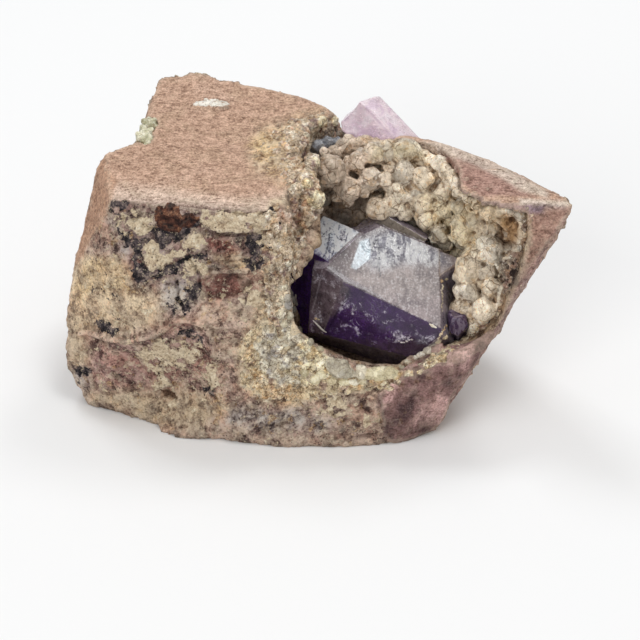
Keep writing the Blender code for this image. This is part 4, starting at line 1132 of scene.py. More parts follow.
def build_rim():
    rng = np.random.default_rng(505)
    faces = np.concatenate([rock_q[:, [0, 1, 2]], rock_q[:, [0, 2, 3]]])
    skin = tree(rock_v, faces)
    eye = Vector(EYE)
    crystals = tree(*joined([arrays(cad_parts[k]) for k in ("amethyst_cluster", "lilac_amethyst")]))
    centres, radii, kinds, bodies = [], [], [], []

    def add(u, w, r, kind, flat, deep, detail):
        ray = Vector(sight(u, w))
        at, normal, index, far = skin.ray_cast(eye, ray)
        if at is None:
            return
        near = crystals.find_nearest(at, r + 0.5)
        if near[0] is not None:
            r = min(r, (Vector(at) - near[0]).length - 0.35)
            if r < 0.3:
                return
        normal = np.array(normal)
        if normal @ np.array(ray) > 0:
            normal = -normal
        c = np.array(at) - normal * r * deep * rng.uniform(0.6, 1.4)
        bodies.append(blocky(c, r, rng, float(rng.uniform(6, 20)), flat, normal + 0.4 * rng.normal(size=3), detail))
        centres.append(c)
        radii.append(r)
        kinds.append(kind)

    for outline, count, small, large, flat, deep, mix in RIM_ZONES:
        us, ws = zip(*outline)
        u, w = rng.uniform(min(us), max(us), count * 8), rng.uniform(min(ws), max(ws), count * 8)
        chosen = np.nonzero(inside(u, w, outline))[0][:count]
        for i in chosen:
            r = small * (large / small) ** rng.uniform() ** 1.6
            add(u[i], w[i], r, mix, flat * rng.uniform(0.7, 1.2), deep, 1)
    for u, w, r, mix in RIM_LARGE:
        add(u, w, r * 600 / FOCAL * 1.1, mix, 0.9, 0.2, 2)

    v, q = voxels(*joined(bodies), 0.30)
    e = edges_of(q)
    v = v + 0.25 * (spread(v, e, 1) - v)
    n = normals(v, q)
    v = v + n * (0.34 * fractal(v, 1.7, 4, 0.64, seed=401, ridged=True) + 0.12 * fractal(v, 0.8, 2, seed=402) - 0.12)[:, None]
    centres, radii = np.array(centres), np.array(radii)
    owner = owners(v, centres, radii)
    kind = np.array([list(MIXES).index(k) for k in kinds])[owner]
    table = np.array([[srgb(*c) for c in row] for row in MIXES.values()])
    # colours change in small patches, with a little from lump to lump
    one = rng.uniform(-1, 1, size=(len(centres), 3))[owner]
    parts = [fractal(v, 2.6, 4, 0.6, seed=411 + k) + 0.10 * one[:, k] for k in range(3)]
    tone = table[kind, 0]
    for k, low in enumerate((0.06, 0.16, 0.12)):
        share = ease(low, low + 0.14, parts[k])[:, None]
        tone = tone * (1 - share) + table[kind, k + 1] * share
    u, w = pixels(v)
    reddish = patch(u, w, [(276, 206), (300, 204), (306, 214), (298, 228), (278, 222)], 6.0)[:, None]
    tone = tone * (1 - 0.45 * reddish) + np.array(srgb(164, 116, 100)) * 0.45 * reddish
    orange = patch(u, w, [(262, 384), (300, 388), (304, 402), (262, 402)], 6.0)[:, None]
    tone = tone * (1 - 0.35 * orange) + np.array(srgb(200, 150, 98)) * 0.35 * orange
    tone = tone * 1.16
    glassy = np.isin(kind, [list(MIXES).index("grey")]) * 0.8 + np.isin(kind, [list(MIXES).index("yellow")]) * 0.4
    return (v, q, *shaded(v, q, e, tone, spread(glassy, e, 1)))


rim_v, rim_q, tone, masks = build_rim()
piece("rim_crust", rim_v, rim_q, lump_material("granular_quartz_crust", 61.0, spots=0.85, contrast=1.6, faced=1.5), "matrix_rock", attributes=(("tone", tone), ("masks", masks)), replaces=False)


# --- The nodular crust -----------------------------------------------------------------------------------
# Nodules that show: middle and radius, in pixels of the camera's frame.
NODULES = [
    (331.5, 168, 14), (348, 189.5, 11.6), (358, 161, 10), (373, 153, 10), (388, 151, 11), (406, 151, 11), (371, 178, 10),
    (363, 187, 7.5), (386, 179.5, 8), (404.5, 173, 11), (423, 179.5, 11), (399.5, 194.5, 12), (378, 209.4, 11), (398, 209, 7.5),
    (406, 213, 7.5), (411, 198, 8), (422.7, 203, 10), (426, 217.7, 10), (444, 206, 12), (442.6, 193, 9), (462.5, 209.4, 8.5),
    (449, 219, 7.5), (441, 234, 9), (446, 242.5, 8.5), (462.5, 232.6, 11), (475.8, 219, 8), (475.8, 239, 8), (487.4, 209.4, 9),
    (502, 209, 9), (490.7, 249, 14), (472.5, 256, 10), (457.5, 252.5, 9), (517, 232.6, 8), (512, 249, 8), (467.5, 270.8, 14),
    (487.4, 272.4, 9.5), (467.5, 292.3, 12.5), (490.7, 287, 9), (461, 309, 11.5), (485.7, 309, 12.5), (497, 297, 7.5),
    (351, 209, 8), (361, 217, 7), (459, 221, 7.5), (484, 231, 8.5), (496, 226, 8.5), (437.6, 178, 7.5), (418, 191, 7.5),
    (434, 216, 7.5), (452.5, 257.5, 7),
    (379, 167, 9), (391, 166, 8), (340, 206, 6), (349, 202, 5.5), (345, 216, 6), (356, 221, 7), (332, 212, 6), (367, 218, 6), (337, 198, 5), (372, 226, 5),
]
RIGHT_EDGE = [(424, 156), (438, 163), (452, 176), (466, 190), (480, 197), (500, 197), (516, 200), (522, 212), (521, 228), (517, 246), (506, 258), (500, 268), (501, 286), (499, 304), (492, 316), (476, 321), (462, 320)]
LEDGE = [(362, 154, 8), (376, 149, 9), (386, 147, 9), (396, 146, 9), (406, 146, 9), (414, 148, 7), (415, 156, 6)]


def build_lining():
    rng = np.random.default_rng(77)
    cad_v, cad_f = arrays(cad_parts["nodular_lining"])
    rock = tree(*arrays(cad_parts["matrix_rock"]))
    skin = tree(cad_v, cad_f)
    v, q = voxels(cad_v, cad_f, 0.62)
    v, q = biggest(v, q)
    n = normals(v, q)
    away = np.array([min(rock.find_nearest(p, 6.0)[3] or 6.0, 6.0) for p in v.tolist()])
    outer = away < 0.95
    e = edges_of(q)
    gem = tree(*arrays(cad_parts["lilac_amethyst"]))
    by_gem = np.array([gem.find_nearest(p, 2.5)[0] is not None for p in v.tolist()])
    shrink = spread(np.where(outer, -0.22, np.where(by_gem, -0.25, 0.12)), e, 2)
    base_v = v - n * shrink[:, None]
    base_f = np.concatenate([q[:, [0, 1, 2]], q[:, [0, 2, 3]]])

    centres, radii = [], []
    eye = Vector(EYE)
    for u, w, r in NODULES + LEDGE:
        ray = Vector(sight(u, w))
        near = [skin.ray_cast(eye, Vector(sight(u + du, w + dw))) for du, dw in ((0, 0), (r, 0), (-r, 0), (0, r), (0, -r))]
        if near[0][0] is None:
            continue
        far = min(near[0][3], float(np.median([h[3] for h in near if h[0] is not None])) + 0.3)
        size = r * far / FOCAL * (1.06 if w > 262 else 1.12)
        centres.append(np.array(EYE) + np.array(ray) * (far + size * (0.42 if w > 262 else 0.58)))
        radii.append(size)
    shown = len(centres)
    # smaller ones fill in between, and carry the crust on where the camera doesn't look
    inner = np.nonzero((away > 1.6) & (n @ (np.array([0.0, -0.75, 0.65])) > -0.25))[0]
    tries = rng.permutation(inner)
    for i in tries:
        r = float(rng.choice([rng.uniform(0.8, 1.4), rng.uniform(1.5, 2.5)], p=[0.5, 0.5]))
        p = v[i]
        gap = np.linalg.norm(np.array(centres) - p, axis=1) - np.array(radii) * 0.93 - r * 0.25
        if gap.min() > 0:
            centres.append(p - n[i] * r * 0.5)
            radii.append(r)
        if len(centres) > 620:
            break
    bodies = [(base_v, base_f)]
    for k, (c, r) in enumerate(zip(centres, radii)):
        if shown - len(LEDGE) <= k < shown:
            bodies.append(blocky(c, r, rng, 14, 0.42, (0.1, -0.25, 1.0)))
            bodies.append(blocky(c + np.array([rng.uniform(-1, 1), 0.2, -1.6]), r * 0.9, rng, 14, 0.32, (0.1, -0.25, 1.0)))
        else:
            px, py = (a[0] for a in pixels(c[None]))
            lower = k < shown and py > 262
            bodies.append(blocky(c, r * (1.0 if lower else 0.95), rng, float(rng.uniform(26, 44)), float(rng.uniform(0.8, 0.96)), rng.normal(size=3), 2, (0.92, 1.16)))
            if k < shown and not lower and r > 1.5:
                for _ in range(7):
                    way = rng.normal(size=3)
                    way /= np.linalg.norm(way)
                    if way @ np.array(BACK) < -0.1:
                        way = -way
                    bodies.append(blocky(c + way * r * rng.uniform(0.52, 0.70), r * rng.uniform(0.36, 0.55), rng, 24, 0.85, rng.normal(size=3), 1, (0.92, 1.2)))
    # the crust's broken edge on the right
    stone = tree(rock_v, np.concatenate([rock_q[:, [0, 1, 2]], rock_q[:, [0, 2, 3]]]))
    for (ax, ay), (bx, by) in zip(RIGHT_EDGE, RIGHT_EDGE[1:]):
        for t in np.arange(0, 1, 3.0 / math.hypot(bx - ax, by - ay)):
            u, w = ax + t * (bx - ax) + rng.normal() * 1.4, ay + t * (by - ay) + rng.normal() * 1.4
            hits = [k.ray_cast(eye, Vector(sight(u, w))) for k in (skin, stone)]
            hits = [h for h in hits if h[0] is not None]
            if hits:
                at, far = min(((h[0], h[3]) for h in hits), key=lambda pair: pair[1])
                r = float(rng.uniform(0.4, 1.0))
                c = np.array(at) + np.array(sight(u, w)) * r * 0.62
                bodies.append(blocky(c, r, rng, 14, 0.8, rng.normal(size=3)))
                centres.append(c)
                radii.append(r)
    all_v, all_f = joined(bodies)
    v, q = voxels(all_v, all_f, LINING_VOXEL)
    v, q = biggest(v, q)
    e = edges_of(q)
    v = v + 0.25 * (spread(v, e, 1) - v)
    n = normals(v, q)
    near, second, name = cells(v, 1.5, seed=61)
    move = (0.5 - near) * 0.04 + 0.08 * fractal(v, 2.6, 4, 0.6, seed=62, ridged=True) - 0.03
    warped = v + 0.6 * np.stack([noise(v, 1.8, 63), noise(v, 1.8, 64), noise(v, 1.8, 65)], 1)
    big_near, big_second, big_name = cells(warped, 3.4, seed=66)
    u, w = pixels(v)
    move -= 0.25 * patch(u, w, [(496, 216), (508, 212), (518, 224), (514, 242), (502, 240), (494, 230)], 5.0)
    crystals = tree(*joined([arrays(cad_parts[k]) for k in ("amethyst_cluster", "lilac_amethyst", "violet_side_crystal")]))
    v = v + n * move[:, None]
    # nothing pokes through a crystal
    for i, p in enumerate(v.tolist()):
        at, normal, index, far = crystals.find_nearest(p, 1.6)
        if at is not None:
            side = (Vector(p) - at).dot(normal)
            if side < 0.12:
                v[i] = np.array(at) + np.array(normal) * 0.12

    # colour: each nodule a little different
    centres = np.array(centres)
    radii = np.array(radii)
    owner = owners(v, centres, radii)
    pick = rng.uniform(size=(len(centres), 2))
    tone = np.empty((len(v), 3))
    tone[:] = srgb(246, 230, 206)

    def tint(weight, colour, amount=1.0):
        w3 = np.clip(weight * amount, 0, 1)[:, None]
        tone[:] = tone * (1 - w3) + np.array(srgb(*colour)) * w3

    one = pick[owner]
    tint(ease(0.55, 1.0, one[:, 0]), (253, 244, 228), 0.9)
    tint(ease(0.45, 0.0, one[:, 0]), (234, 214, 186), 0.7)
    u, w = pixels(v)
    wob = 5 * fractal(v, 6.0, 3, seed=71)
    # painted shade: the nodules at the upper left are greyed and pinker
    shaded_upper_left = 1 - ease(366, 420, u + 0.35 * (w - 150) + wob)
    tint(shaded_upper_left, (216, 194, 174), 0.8)
    tint(patch(u + wob, w, [(372, 142), (420, 142), (424, 158), (372, 160)], 8.0), (206, 190, 152), 0.7)
    tint(patch(u + wob, w, [(500, 216), (514, 212), (520, 228), (517, 246), (504, 246), (498, 230)], 6.0), (158, 116, 68), 0.9)
    tint(patch(u + wob, w, [(470, 200), (500, 204), (506, 222), (490, 226), (468, 214)], 8.0), (206, 174, 124), 0.5)
    tint(patch(u + wob, w, [(424, 196), (470, 204), (478, 246), (450, 262), (430, 240)], 10.0), (236, 220, 178), 0.5)
    tint(patch(u + wob, w, [(444, 286), (456, 300), (470, 322), (452, 322), (440, 300)], 7.0), (216, 174, 112), 0.6)
    # painted shade: darker towards the back of the vug and low in it
    deep = ease(0.0, 9.0, v[:, 1] - 2.0) * (1 - ease(44.0, 50.0, v[:, 2]))
    tint(deep, (140, 118, 96), 0.5)
    tint(patch(u + 0.4 * wob, w, [(500, 261), (512, 258), (521, 268), (519, 285), (509, 291), (500, 285)], 2.5), (86, 62, 58), 0.92)
    tint((one[:, 1] > 0.90).astype(float), (186, 178, 166), 0.55)
    return (v, q, *shaded(v, q, e, tone, 0.5 * (one[:, 1] > 0.90)))


lining_v, lining_q, tone, masks = build_lining()
piece("nodular_crust", lining_v, lining_q, lump_material("nodular_quartz", 11.0, (0.26, 0.18, 0.12), 0.24, 0.12, 0.80, 3.1), "nodular_lining", attributes=(("tone", tone), ("masks", masks)))


# --- The crystals ------------------------------------------------------------------------------------------
UPPER = np.array([0.100, -0.497, 0.862])
PRISM = np.array([-0.320, -0.945, 0.072])
LEFT_FRONT = np.array([-0.485, -0.865, 0.126])
LEFT_BRIGHT = np.array([-0.205, -0.230, 0.951])
LEFT_DARK = np.array([-0.691, -0.701, 0.175])
REAR_DARK = np.array([-0.121, -0.751, 0.649])
REAR_BRIGHT = np.array([0.219, -0.266, 0.939])
BEVEL = np.array([-0.309, -0.772, -0.555])


def like(n, face, tight=0.985, soft=0.02):
    face = face / np.linalg.norm(face)
    return ease(tight - soft, tight, n @ face)


def faceted(node, size, soften=0.12):
    """A frame node's crystal as a fine even skin, with its faces kept flat."""
    cad_v, cad_f = arrays(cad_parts[node])
    v, q = voxels(cad_v, cad_f, size)
    v, q = biggest(v, q)
    bvh = tree(cad_v, cad_f)
    v = snap(v, bvh)
    e = edges_of(q)
    v = v + soften * (spread(v, e, 1) - v)
    face = np.empty_like(v)
    for i, p in enumerate(v.tolist()):
        face[i] = bvh.find_nearest(p)[1]
    return v, q, e, face


WING = [(436, 246), (446, 250), (459, 257), (456, 266), (446, 272), (438, 278)]
SPARKLE = [(361, 238), (380, 232), (398, 227), (420, 238), (440, 252), (446, 262), (430, 264), (404, 262), (384, 268), (372, 268), (364, 258)]
VEILS = [(338, 300), (356, 292), (378, 296), (404, 314), (430, 330), (442, 338), (424, 348), (392, 346), (362, 340), (342, 326)]


def build_amethyst():
    v, q, e, face = faceted("amethyst_cluster", 0.30)
    n = normals(v, q)
    u, w = pixels(v)
    upper = like(face, UPPER)
    prism = like(face, PRISM, 0.998, 0.004)
    smoky = like(face, LEFT_FRONT, 0.998, 0.004)
    bright_left = like(face, LEFT_BRIGHT)
    bright_rear = like(face, REAR_BRIGHT)
    dark_left = like(face, LEFT_DARK)
    rear = like(face, REAR_DARK)
    bevel = like(face, BEVEL)
    wing = patch(u, w, WING, 1.5) * (face @ BACK > 0.05) * (1 - upper)
    # growth steps and striations, a few hundredths of a millimetre high
    down = np.cross(np.cross(UPPER, (0, 0, 1)), UPPER)
    down /= np.linalg.norm(down)
    across = np.cross(UPPER, down)
    s = np.stack([v @ across, (v @ down) * 0.45, v @ UPPER * 0.3], 1)
    relief = 0.018 * fractal(s, 1.3, 3, 0.6, seed=81) * upper
    s2 = np.stack([v @ across * 0.8, v @ down * 0.3, v @ UPPER], 1)
    relief += 0.08 * fractal(s2, 1.4, 3, 0.6, seed=82) * np.maximum(bright_left, 0.4 * bright_rear)
    steps = fractal(np.stack([v[:, 0] * 0.15, v[:, 1] * 0.15, v[:, 2] * 1.0], 1), 2.2, 3, seed=83)
    relief += 0.05 * np.round(steps * 4) / 4 * np.maximum(prism, smoky)
    relief += 0.05 * fractal(v, 1.1, 3, seed=84) * (1 - np.clip(upper + prism + smoky + bright_left + bright_rear + dark_left + rear + bevel, 0, 1))
    # a growth crack down the upper face
    crack = stroke(u, w, [(362, 243), (366, 250), (371, 252), (374, 243), (379, 238)], 0.35, 0.7) + stroke(u, w, [(377, 240), (380, 252), (378, 264), (381, 276)], 0.25, 0.6)
    relief -= 0.10 * crack * upper
    v = v + face * relief[:, None]

    count = len(v)
    tone = np.empty((count, 3))
    tone[:] = srgb(176, 164, 172)

    def tint(weight, colour, amount=1.0):
        w3 = np.clip(weight * amount, 0, 1)[:, None]
        tone[:] = tone * (1 - w3) + np.array(srgb(*colour)) * w3

    sparkle = np.clip(patch(u, w, SPARKLE, 9.0) * upper + bright_left + 0.9 * bright_rear, 0, 1)
    tint(upper, (188, 174, 170))
    # painted silvery sheen on the sparkling part of the upper face
    tint(patch(u, w, SPARKLE, 9.0) * upper, (222, 224, 230), 0.85)
    tint(upper * ease(285, 310, w), (188, 170, 172), 0.6)
    tint(upper * (1 - ease(342, 362, u + 0.4 * (w - 262) + 6 * fractal(v, 3.0, 3, seed=88))), (118, 104, 106), 0.9)
    below = upper * ease(-1.5, 2.5, w - (265.7 + 0.594 * (u - 329.6)) + 1.2 * fractal(v, 2.0, 3, seed=92)) * (1 - ease(390, 425, u))
    tint(below, (98, 82, 88), 0.85)
    tint(prism, (76, 47, 98))
    tint(prism * (1 - ease(3.0, 20.0, w + 2.5 * fractal(v, 2.5, 3, seed=87) - (288 + 0.49 * (u - 350)))), (62, 30, 92), 0.30)
    tint(prism * ease(392, 412, u + 0.3 * fractal(v, 4.0, 3, seed=86) * 20), (66, 38, 78), 0.65)
    tint(prism * ease(0.0, 14.0, w - (288 + 0.36 * (u - 350)) - 30), (66, 48, 82), 0.5)
    tint(prism * ease(336, 346, w), (76, 60, 70), 0.7)
    tint(smoky, (134, 118, 126))
    tint(smoky * ease(318, 330, w), (104, 86, 92), 0.8)
    smoke = patch(u + 3 * fractal(v, 3.0, 3, seed=85), w, [(309, 262), (326, 268), (350, 288), (346, 300), (334, 316), (318, 322), (306, 300)], 4.0) * np.clip(prism + smoky, 0, 1)
    tint(smoke, (108, 92, 98), 0.85)
    tint(smoke * ease(0.08, 0.40, fractal(v, 2.2, 4, 0.6, seed=89)), (48, 32, 52), 0.75)
    tint(smoke * ease(0.10, 0.42, fractal(v, 1.8, 4, 0.6, seed=90)), (172, 160, 166), 0.7)
    tint(stroke(u, w, [(350, 288), (345, 301), (335, 316), (330, 326)], 0.4, 0.8) * np.clip(prism + smoky, 0, 1), (30, 18, 44), 0.7)
    # painted highlight: a thin pale line along the crystal's left edge
    tint(stroke(u, w, [(322, 270), (318, 290), (312, 312)], 0.3, 0.8) * np.clip(prism + smoky, 0, 1), (196, 184, 190), 0.5)
    # painted reflection: the bright left face is toned silvery white, with two painted white highlights
    tint(bright_left, (232, 238, 246))
    tint(patch(u, w, [(320, 221), (331, 226), (328, 240), (319, 241)], 2.0) * bright_left, (255, 255, 255), 0.9)
    tint(patch(u, w, [(341, 229), (353, 235), (346, 245), (338, 243)], 2.0) * bright_left, (255, 255, 255), 0.9)
    tint(bright_left * ease(244, 258, w + 0.3 * (320 - u)), (160, 148, 196), 0.7)
    for points in ([(339, 224), (336, 236), (337, 244), (332, 254)], [(331, 229), (329, 240), (325, 256)], [(349, 231), (345, 243), (340, 250), (337, 259)], [(325, 226), (323, 238), (319, 246)], [(336, 238), (344, 240), (352, 238)]):
        tint(stroke(u + 1.5 * fractal(v, 1.6, 3, seed=91), w, points, 0.35, 0.8) * bright_left, (62, 62, 92), 0.85)
    # painted reflection: the bright rear face is toned silvery white
    tint(bright_rear, (240, 250, 252))
    tint(dark_left, (78, 50, 116))
    tint(rear, (140, 128, 114))
    tint(bevel, (104, 92, 92))
    tint(wing, (226, 208, 196), 0.95)
    tint(crack * upper, (90, 92, 96), 0.8)
    # painted reflection: a mirror-like pale blue patch on the upper face, also kept smooth
    glassy = patch(u, w, [(360, 241), (369, 238), (371, 250), (370, 259), (356, 270), (351, 267)], 1.0) * upper
    tint(glassy, (214, 228, 236), 1.0)
    veil = np.clip(prism * (0.12 + 0.88 * patch(u, w, VEILS, 12.0)) + 0.6 * smoky, 0, 1)
    satin = np.clip(upper + wing + 0.4 * bright_left + 0.4 * bright_rear, 0, 1) * (1 - 0.6 * below)
    return v, q, tone, np.stack([satin * (1 - glassy), sparkle * (1 - glassy), veil], 1)


def amethyst_material():
    m = Nodes("amethyst")
    tone = m.attribute("tone", "Color")
    satin, sparkle, veiled = m.split(m.attribute("masks", "Color"))[:3]
    down = m.stretched((1.0, 0.42, 0.42), (0.0, 0.0, 0.2))
    streak = m.sigma(0.85, 5.0, 0.66, 0.2, down, seed=21.0)
    glint = m.sigma(0.50, 3.0, 0.7, seed=22.0)
    cloud = m.sigma(5.0, 5.0, 0.6, seed=23.0)
    wisp = m.sigma(3.4, 8.0, 0.66, 0.7, seed=24.0)
    shimmer = m.sigma(1.9, 6.0, 0.70, 0.25, down, seed=28.0)
    # whitish veils: cloudy patches and thin bright lines
    thread = m.step(m.math("ABSOLUTE", m.sigma(2.6, 5.0, 0.55, 0.7, seed=26.0)), 0.16, 0.02)
    mist = m.step(m.sum(wisp, (veiled, 1.2)), 1.15, 2.9)
    torn = m.step(m.sum((streak, 0.5), (glint, 0.6)), -0.6, 0.8, (0.25, 1.0))
    held = m.step(m.sum(cloud, (veiled, 0.7)), 0.9, 1.7)
    veil = m.times(m.math("ADD", m.times(mist, torn), m.times(thread, held, 0.40), clamp=True), veiled)
    colour = m.mix(m.times(veil, 0.9), tone, srgb(236, 228, 240))
    index = m.math("MULTIPLY_ADD", m.sum((cloud, 0.60), (streak, 0.45), (glint, 0.50)), 0.17, 0.5)
    colour = m.mix(1.0, colour, m.ramp(index, (0.12, (0.50, 0.48, 0.52)), (0.5, (1.0, 1.0, 1.0)), (0.88, (1.42, 1.42, 1.44))), "MULTIPLY")
    # silvery crackle: painted reflection, white in a crackle pattern and darkened between, where the roughness also
    # drops
    crackle = m.times(m.step(m.sum((shimmer, 0.9), (glint, 0.35)), 0.15, 0.40), sparkle)
    colour = m.mix(m.times(crackle, 0.95), colour, (1.0, 1.0, 1.0))
    dark = m.times(m.step(m.sum((shimmer, 0.9), (glint, 0.35)), -0.55, -0.9), sparkle)
    colour = m.mix(m.times(dark, 0.72), colour, m.mix(1.0, colour, (0.34, 0.32, 0.40), "MULTIPLY"))
    # painted glints: pale flecks on the satiny faces
    flecks = m.times(m.step(m.sum((glint, 0.8), (streak, 0.5)), 1.0, 1.35), satin)
    colour = m.mix(m.times(flecks, 0.55), colour, srgb(240, 238, 240))
    rough = m.math("MAXIMUM", m.sum(0.05, m.times(satin, m.step(glint, -1.5, 1.5, (0.26, 0.44))), m.times(crackle, -0.32)), 0.06)
    height = m.sum((streak, 0.08), (glint, 0.06))
    height = m.times(height, m.sum(0.05, (satin, 0.35), (sparkle, 0.6)))
    tilt, number, gap = m.facets(2.6, m.warped(0.5, 1.8, 27.0), 0.22)
    height = m.sum(height, (m.times(tilt, sparkle), 5.0))
    m.set(Base_Color=colour, Roughness=rough, IOR=1.55, Specular_IOR_Level=0.3, Transmission_Weight=0.42, Normal=m.bump(height, 0.16, 0.8))
    m.absorb((0.52, 0.26, 0.68), 120.0)
    return m.mat


gem_v, gem_q, tone, masks = build_amethyst()
piece("amethyst_crystals", gem_v, gem_q, amethyst_material(), "amethyst_cluster", attributes=(("tone", tone), ("masks", masks)))


def build_lilac():
    v, q, e, face = faceted("lilac_amethyst", 0.24, 0.08)
    foot = np.array([v[:, 0].mean(), v[:, 1].mean(), v[:, 2].min()])
    v = foot + (v - foot) * (1.10, 1.0, 1.10)
    u, w = pixels(v)
    high = ease(0.2, 0.95, (v[:, 2] - foot[2]) / np.ptp(v[:, 2]))
    v[:, 2] -= 0.09 * np.clip(375 - u, 0, 20) * high
    v = v + face * (0.02 * fractal(v, 1.6, 3, seed=91))[:, None]
    u, w = pixels(v)
    tone = np.empty((len(v), 3))
    tone[:] = srgb(252, 234, 240)
    facing = face @ np.array([-0.80, -0.35, 0.45])
    left = ease(0.35, 0.75, facing)[:, None]
    tone[:] = tone * (1 - 0.5 * left) + np.array(srgb(240, 214, 226)) * 0.5 * left
    low = (patch(u, w, [(352, 118), (366, 128), (384, 137), (400, 132), (404, 140), (360, 146), (346, 128)], 8.0) * 0.55)[:, None]
    tone[:] = tone * (1 - low) + np.array(srgb(206, 176, 204)) * low
    edge = (1.0 * stroke(u, w, [(366, 108), (378, 121), (391, 136)], 0.4, 1.0))[:, None]
    tone[:] = tone * (1 - edge) + np.array(srgb(214, 190, 206)) * edge
    return v, q, tone


def lilac_material():
    m = Nodes("lilac_quartz")
    tone = m.attribute("tone", "Color")
    cloud = m.sigma(3.4, 6.0, 0.60, 0.5, seed=31.0)
    streak = m.sigma(0.9, 4.0, 0.62, 0.2, m.stretched((0.25, 1.0, 1.0), (0.0, 0.8, 0.3)), seed=32.0)
    colour = m.mix(m.times(m.step(cloud, -0.2, 1.6), 0.55), tone, srgb(250, 242, 248))
    colour = m.mix(m.times(m.step(cloud, -0.6, -1.8), 0.45), colour, srgb(204, 176, 204))
    spots = m.step(m.sigma(0.8, 3.0, 0.6, seed=33.0), 1.7, 2.1)
    colour = m.mix(m.times(spots, 0.4), colour, srgb(170, 140, 160))
    rough = m.step(streak, -1.5, 1.5, (0.10, 0.30))
    m.set(Base_Color=colour, Roughness=rough, IOR=1.55, Transmission_Weight=0.42, Normal=m.bump(m.sum((streak, 0.05), (cloud, 0.03)), 0.12, 0.7))
    m.absorb((0.90, 0.78, 0.88), 9.0)
    return m.mat


v, q, tone = build_lilac()
piece("lilac_crystal", v, q, lilac_material(), "lilac_amethyst", attributes=(("tone", tone),))


def side_material():
    m = Nodes("violet_quartz")
    glint = m.sigma(0.9, 4.0, 0.65, 0.3, m.stretched((1.0, 1.0, 0.3)), seed=41.0)
    colour = m.mix(m.step(glint, -0.9, 1.6), srgb(98, 76, 112), srgb(172, 156, 178))
    m.set(Base_Color=colour, Roughness=m.step(glint, -1.5, 1.5, (0.05, 0.22)), IOR=1.55, Transmission_Weight=0.5, Normal=m.bump(m.times(glint, 0.06), 0.12, 0.7))
    m.absorb((0.45, 0.22, 0.58), 150.0)
    return m.mat


v, q, e, face = faceted("violet_side_crystal", 0.24)
v = v + face * (0.03 * fractal(v, 1.2, 3, seed=95))[:, None]
piece("side_crystal", v, q, side_material(), "violet_side_crystal")


# --- Small quartz on the rims, and the white filled bubble ---------------------------------------------------
def quartz_material(name, seed, low, middle, high, transmission=0.0, rough=(0.18, 0.45), absorb=None):
    m = Nodes(name)
    tone = m.attribute("tone", "Color")
    hollow, wide, glassy = m.split(m.attribute("masks", "Color"))[:3]
    cloud = m.sigma(2.2, 6.0, 0.6, 0.3, seed=seed)
    speck = m.sigma(0.6, 4.0, 0.66, seed=seed + 1)
    index = m.math("MULTIPLY_ADD", m.sum((cloud, 0.7), (speck, 0.5)), 0.16, 0.5)
    colour = m.mix(0.55, m.ramp(index, (0.15, srgb(*low)), (0.5, srgb(*middle)), (0.85, srgb(*high))), tone)
    # painted shade darkens the hollows; the crests are paler
    colour = m.mix(m.times(m.step(hollow, 0.53, 0.75), 0.7), colour, m.mix(1.0, colour, (0.36, 0.30, 0.24), "MULTIPLY"))
    colour = m.mix(m.times(m.step(hollow, 0.46, 0.22), 0.35), colour, srgb(246, 242, 232))
    tilt, number, gap = m.facets(1.5, m.warped(0.3, 1.2, seed + 3), 0.9)
    colour = m.mix(1.0, colour, m.ramp(number, (0.1, (0.84, 0.83, 0.82)), (0.9, (1.12, 1.12, 1.12))), "MULTIPLY")
    groove = m.step(gap, 0.05, 0.01)
    colour = m.mix(m.times(groove, 0.5), colour, m.mix(1.0, colour, (0.5, 0.42, 0.34), "MULTIPLY"))
    m.set(Base_Color=colour, Roughness=m.step(speck, -1.5, 1.5, rough), IOR=1.55, Specular_IOR_Level=0.5, Normal=m.bump(m.sum((speck, 0.07), (cloud, 0.05), (tilt, 4.0)), 0.22, 0.9))
    if transmission:
        m.set(Transmission_Weight=transmission)
        m.absorb(*absorb)
    else:
        m.set(Subsurface_Weight=0.2, Subsurface_Radius=(0.7, 0.6, 0.5), Subsurface_Scale=0.0015)
    return m.mat


def all_skins():
    faces = np.concatenate([rock_q[:, [0, 1, 2]], rock_q[:, [0, 2, 3]]])
    rim = np.concatenate([rim_q[:, [0, 1, 2]], rim_q[:, [0, 2, 3]]])
    crust = np.concatenate([lining_q[:, [0, 1, 2]], lining_q[:, [0, 2, 3]]])
    gems = arrays(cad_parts["amethyst_cluster"])
    return tree(*joined([(rock_v, faces), (rim_v, rim), (lining_v, crust), gems]))


SKINS = all_skins()


def pixel_lumps(table, seed, size, sink=0.35, relief=0.06, power=(8, 20)):
    """Blocks set where sight lines through given pixels first meet the specimen: pixel, radius, stretch along the picture's X, colour, glassiness."""
    rng = np.random.default_rng(seed)
    bodies, centres, radii, tones, glass = [], [], [], [], []
    for u, w, r, stretch, colour, glassy in table:
        ray = np.array(sight(u, w))
        at, normal, index, far = SKINS.ray_cast(Vector(EYE), Vector(ray))
        if at is None:
            continue
        radius = r * far / FOCAL
        c = np.array(at) + ray * radius * sink
        v, f = blocky(np.zeros(3), radius, rng, float(rng.uniform(*power)), 0.85, rng.normal(size=3), 1 if r < 3 else 2)
        v = v + (v @ RIGHT)[:, None] * RIGHT * (stretch - 1)
        bodies.append((v + c, f))
        centres.append(c)
        radii.append(radius)
        tones.append(srgb(*colour))
        glass.append(glassy)
    v, q = voxels(*joined(bodies), size)
    e = edges_of(q)
    v = v + 0.2 * (spread(v, e, 1) - v)
    n = normals(v, q)
    v = v + n * (relief * fractal(v, 0.9, 3, 0.6, seed=seed, ridged=True))[:, None]
    owner = owners(v, np.array(centres), np.array(radii))
    tone = spread(np.array(tones)[owner], e, 1)
    return (v, q, *shaded(v, q, e, tone, spread(np.array(glass)[owner], e, 1)))


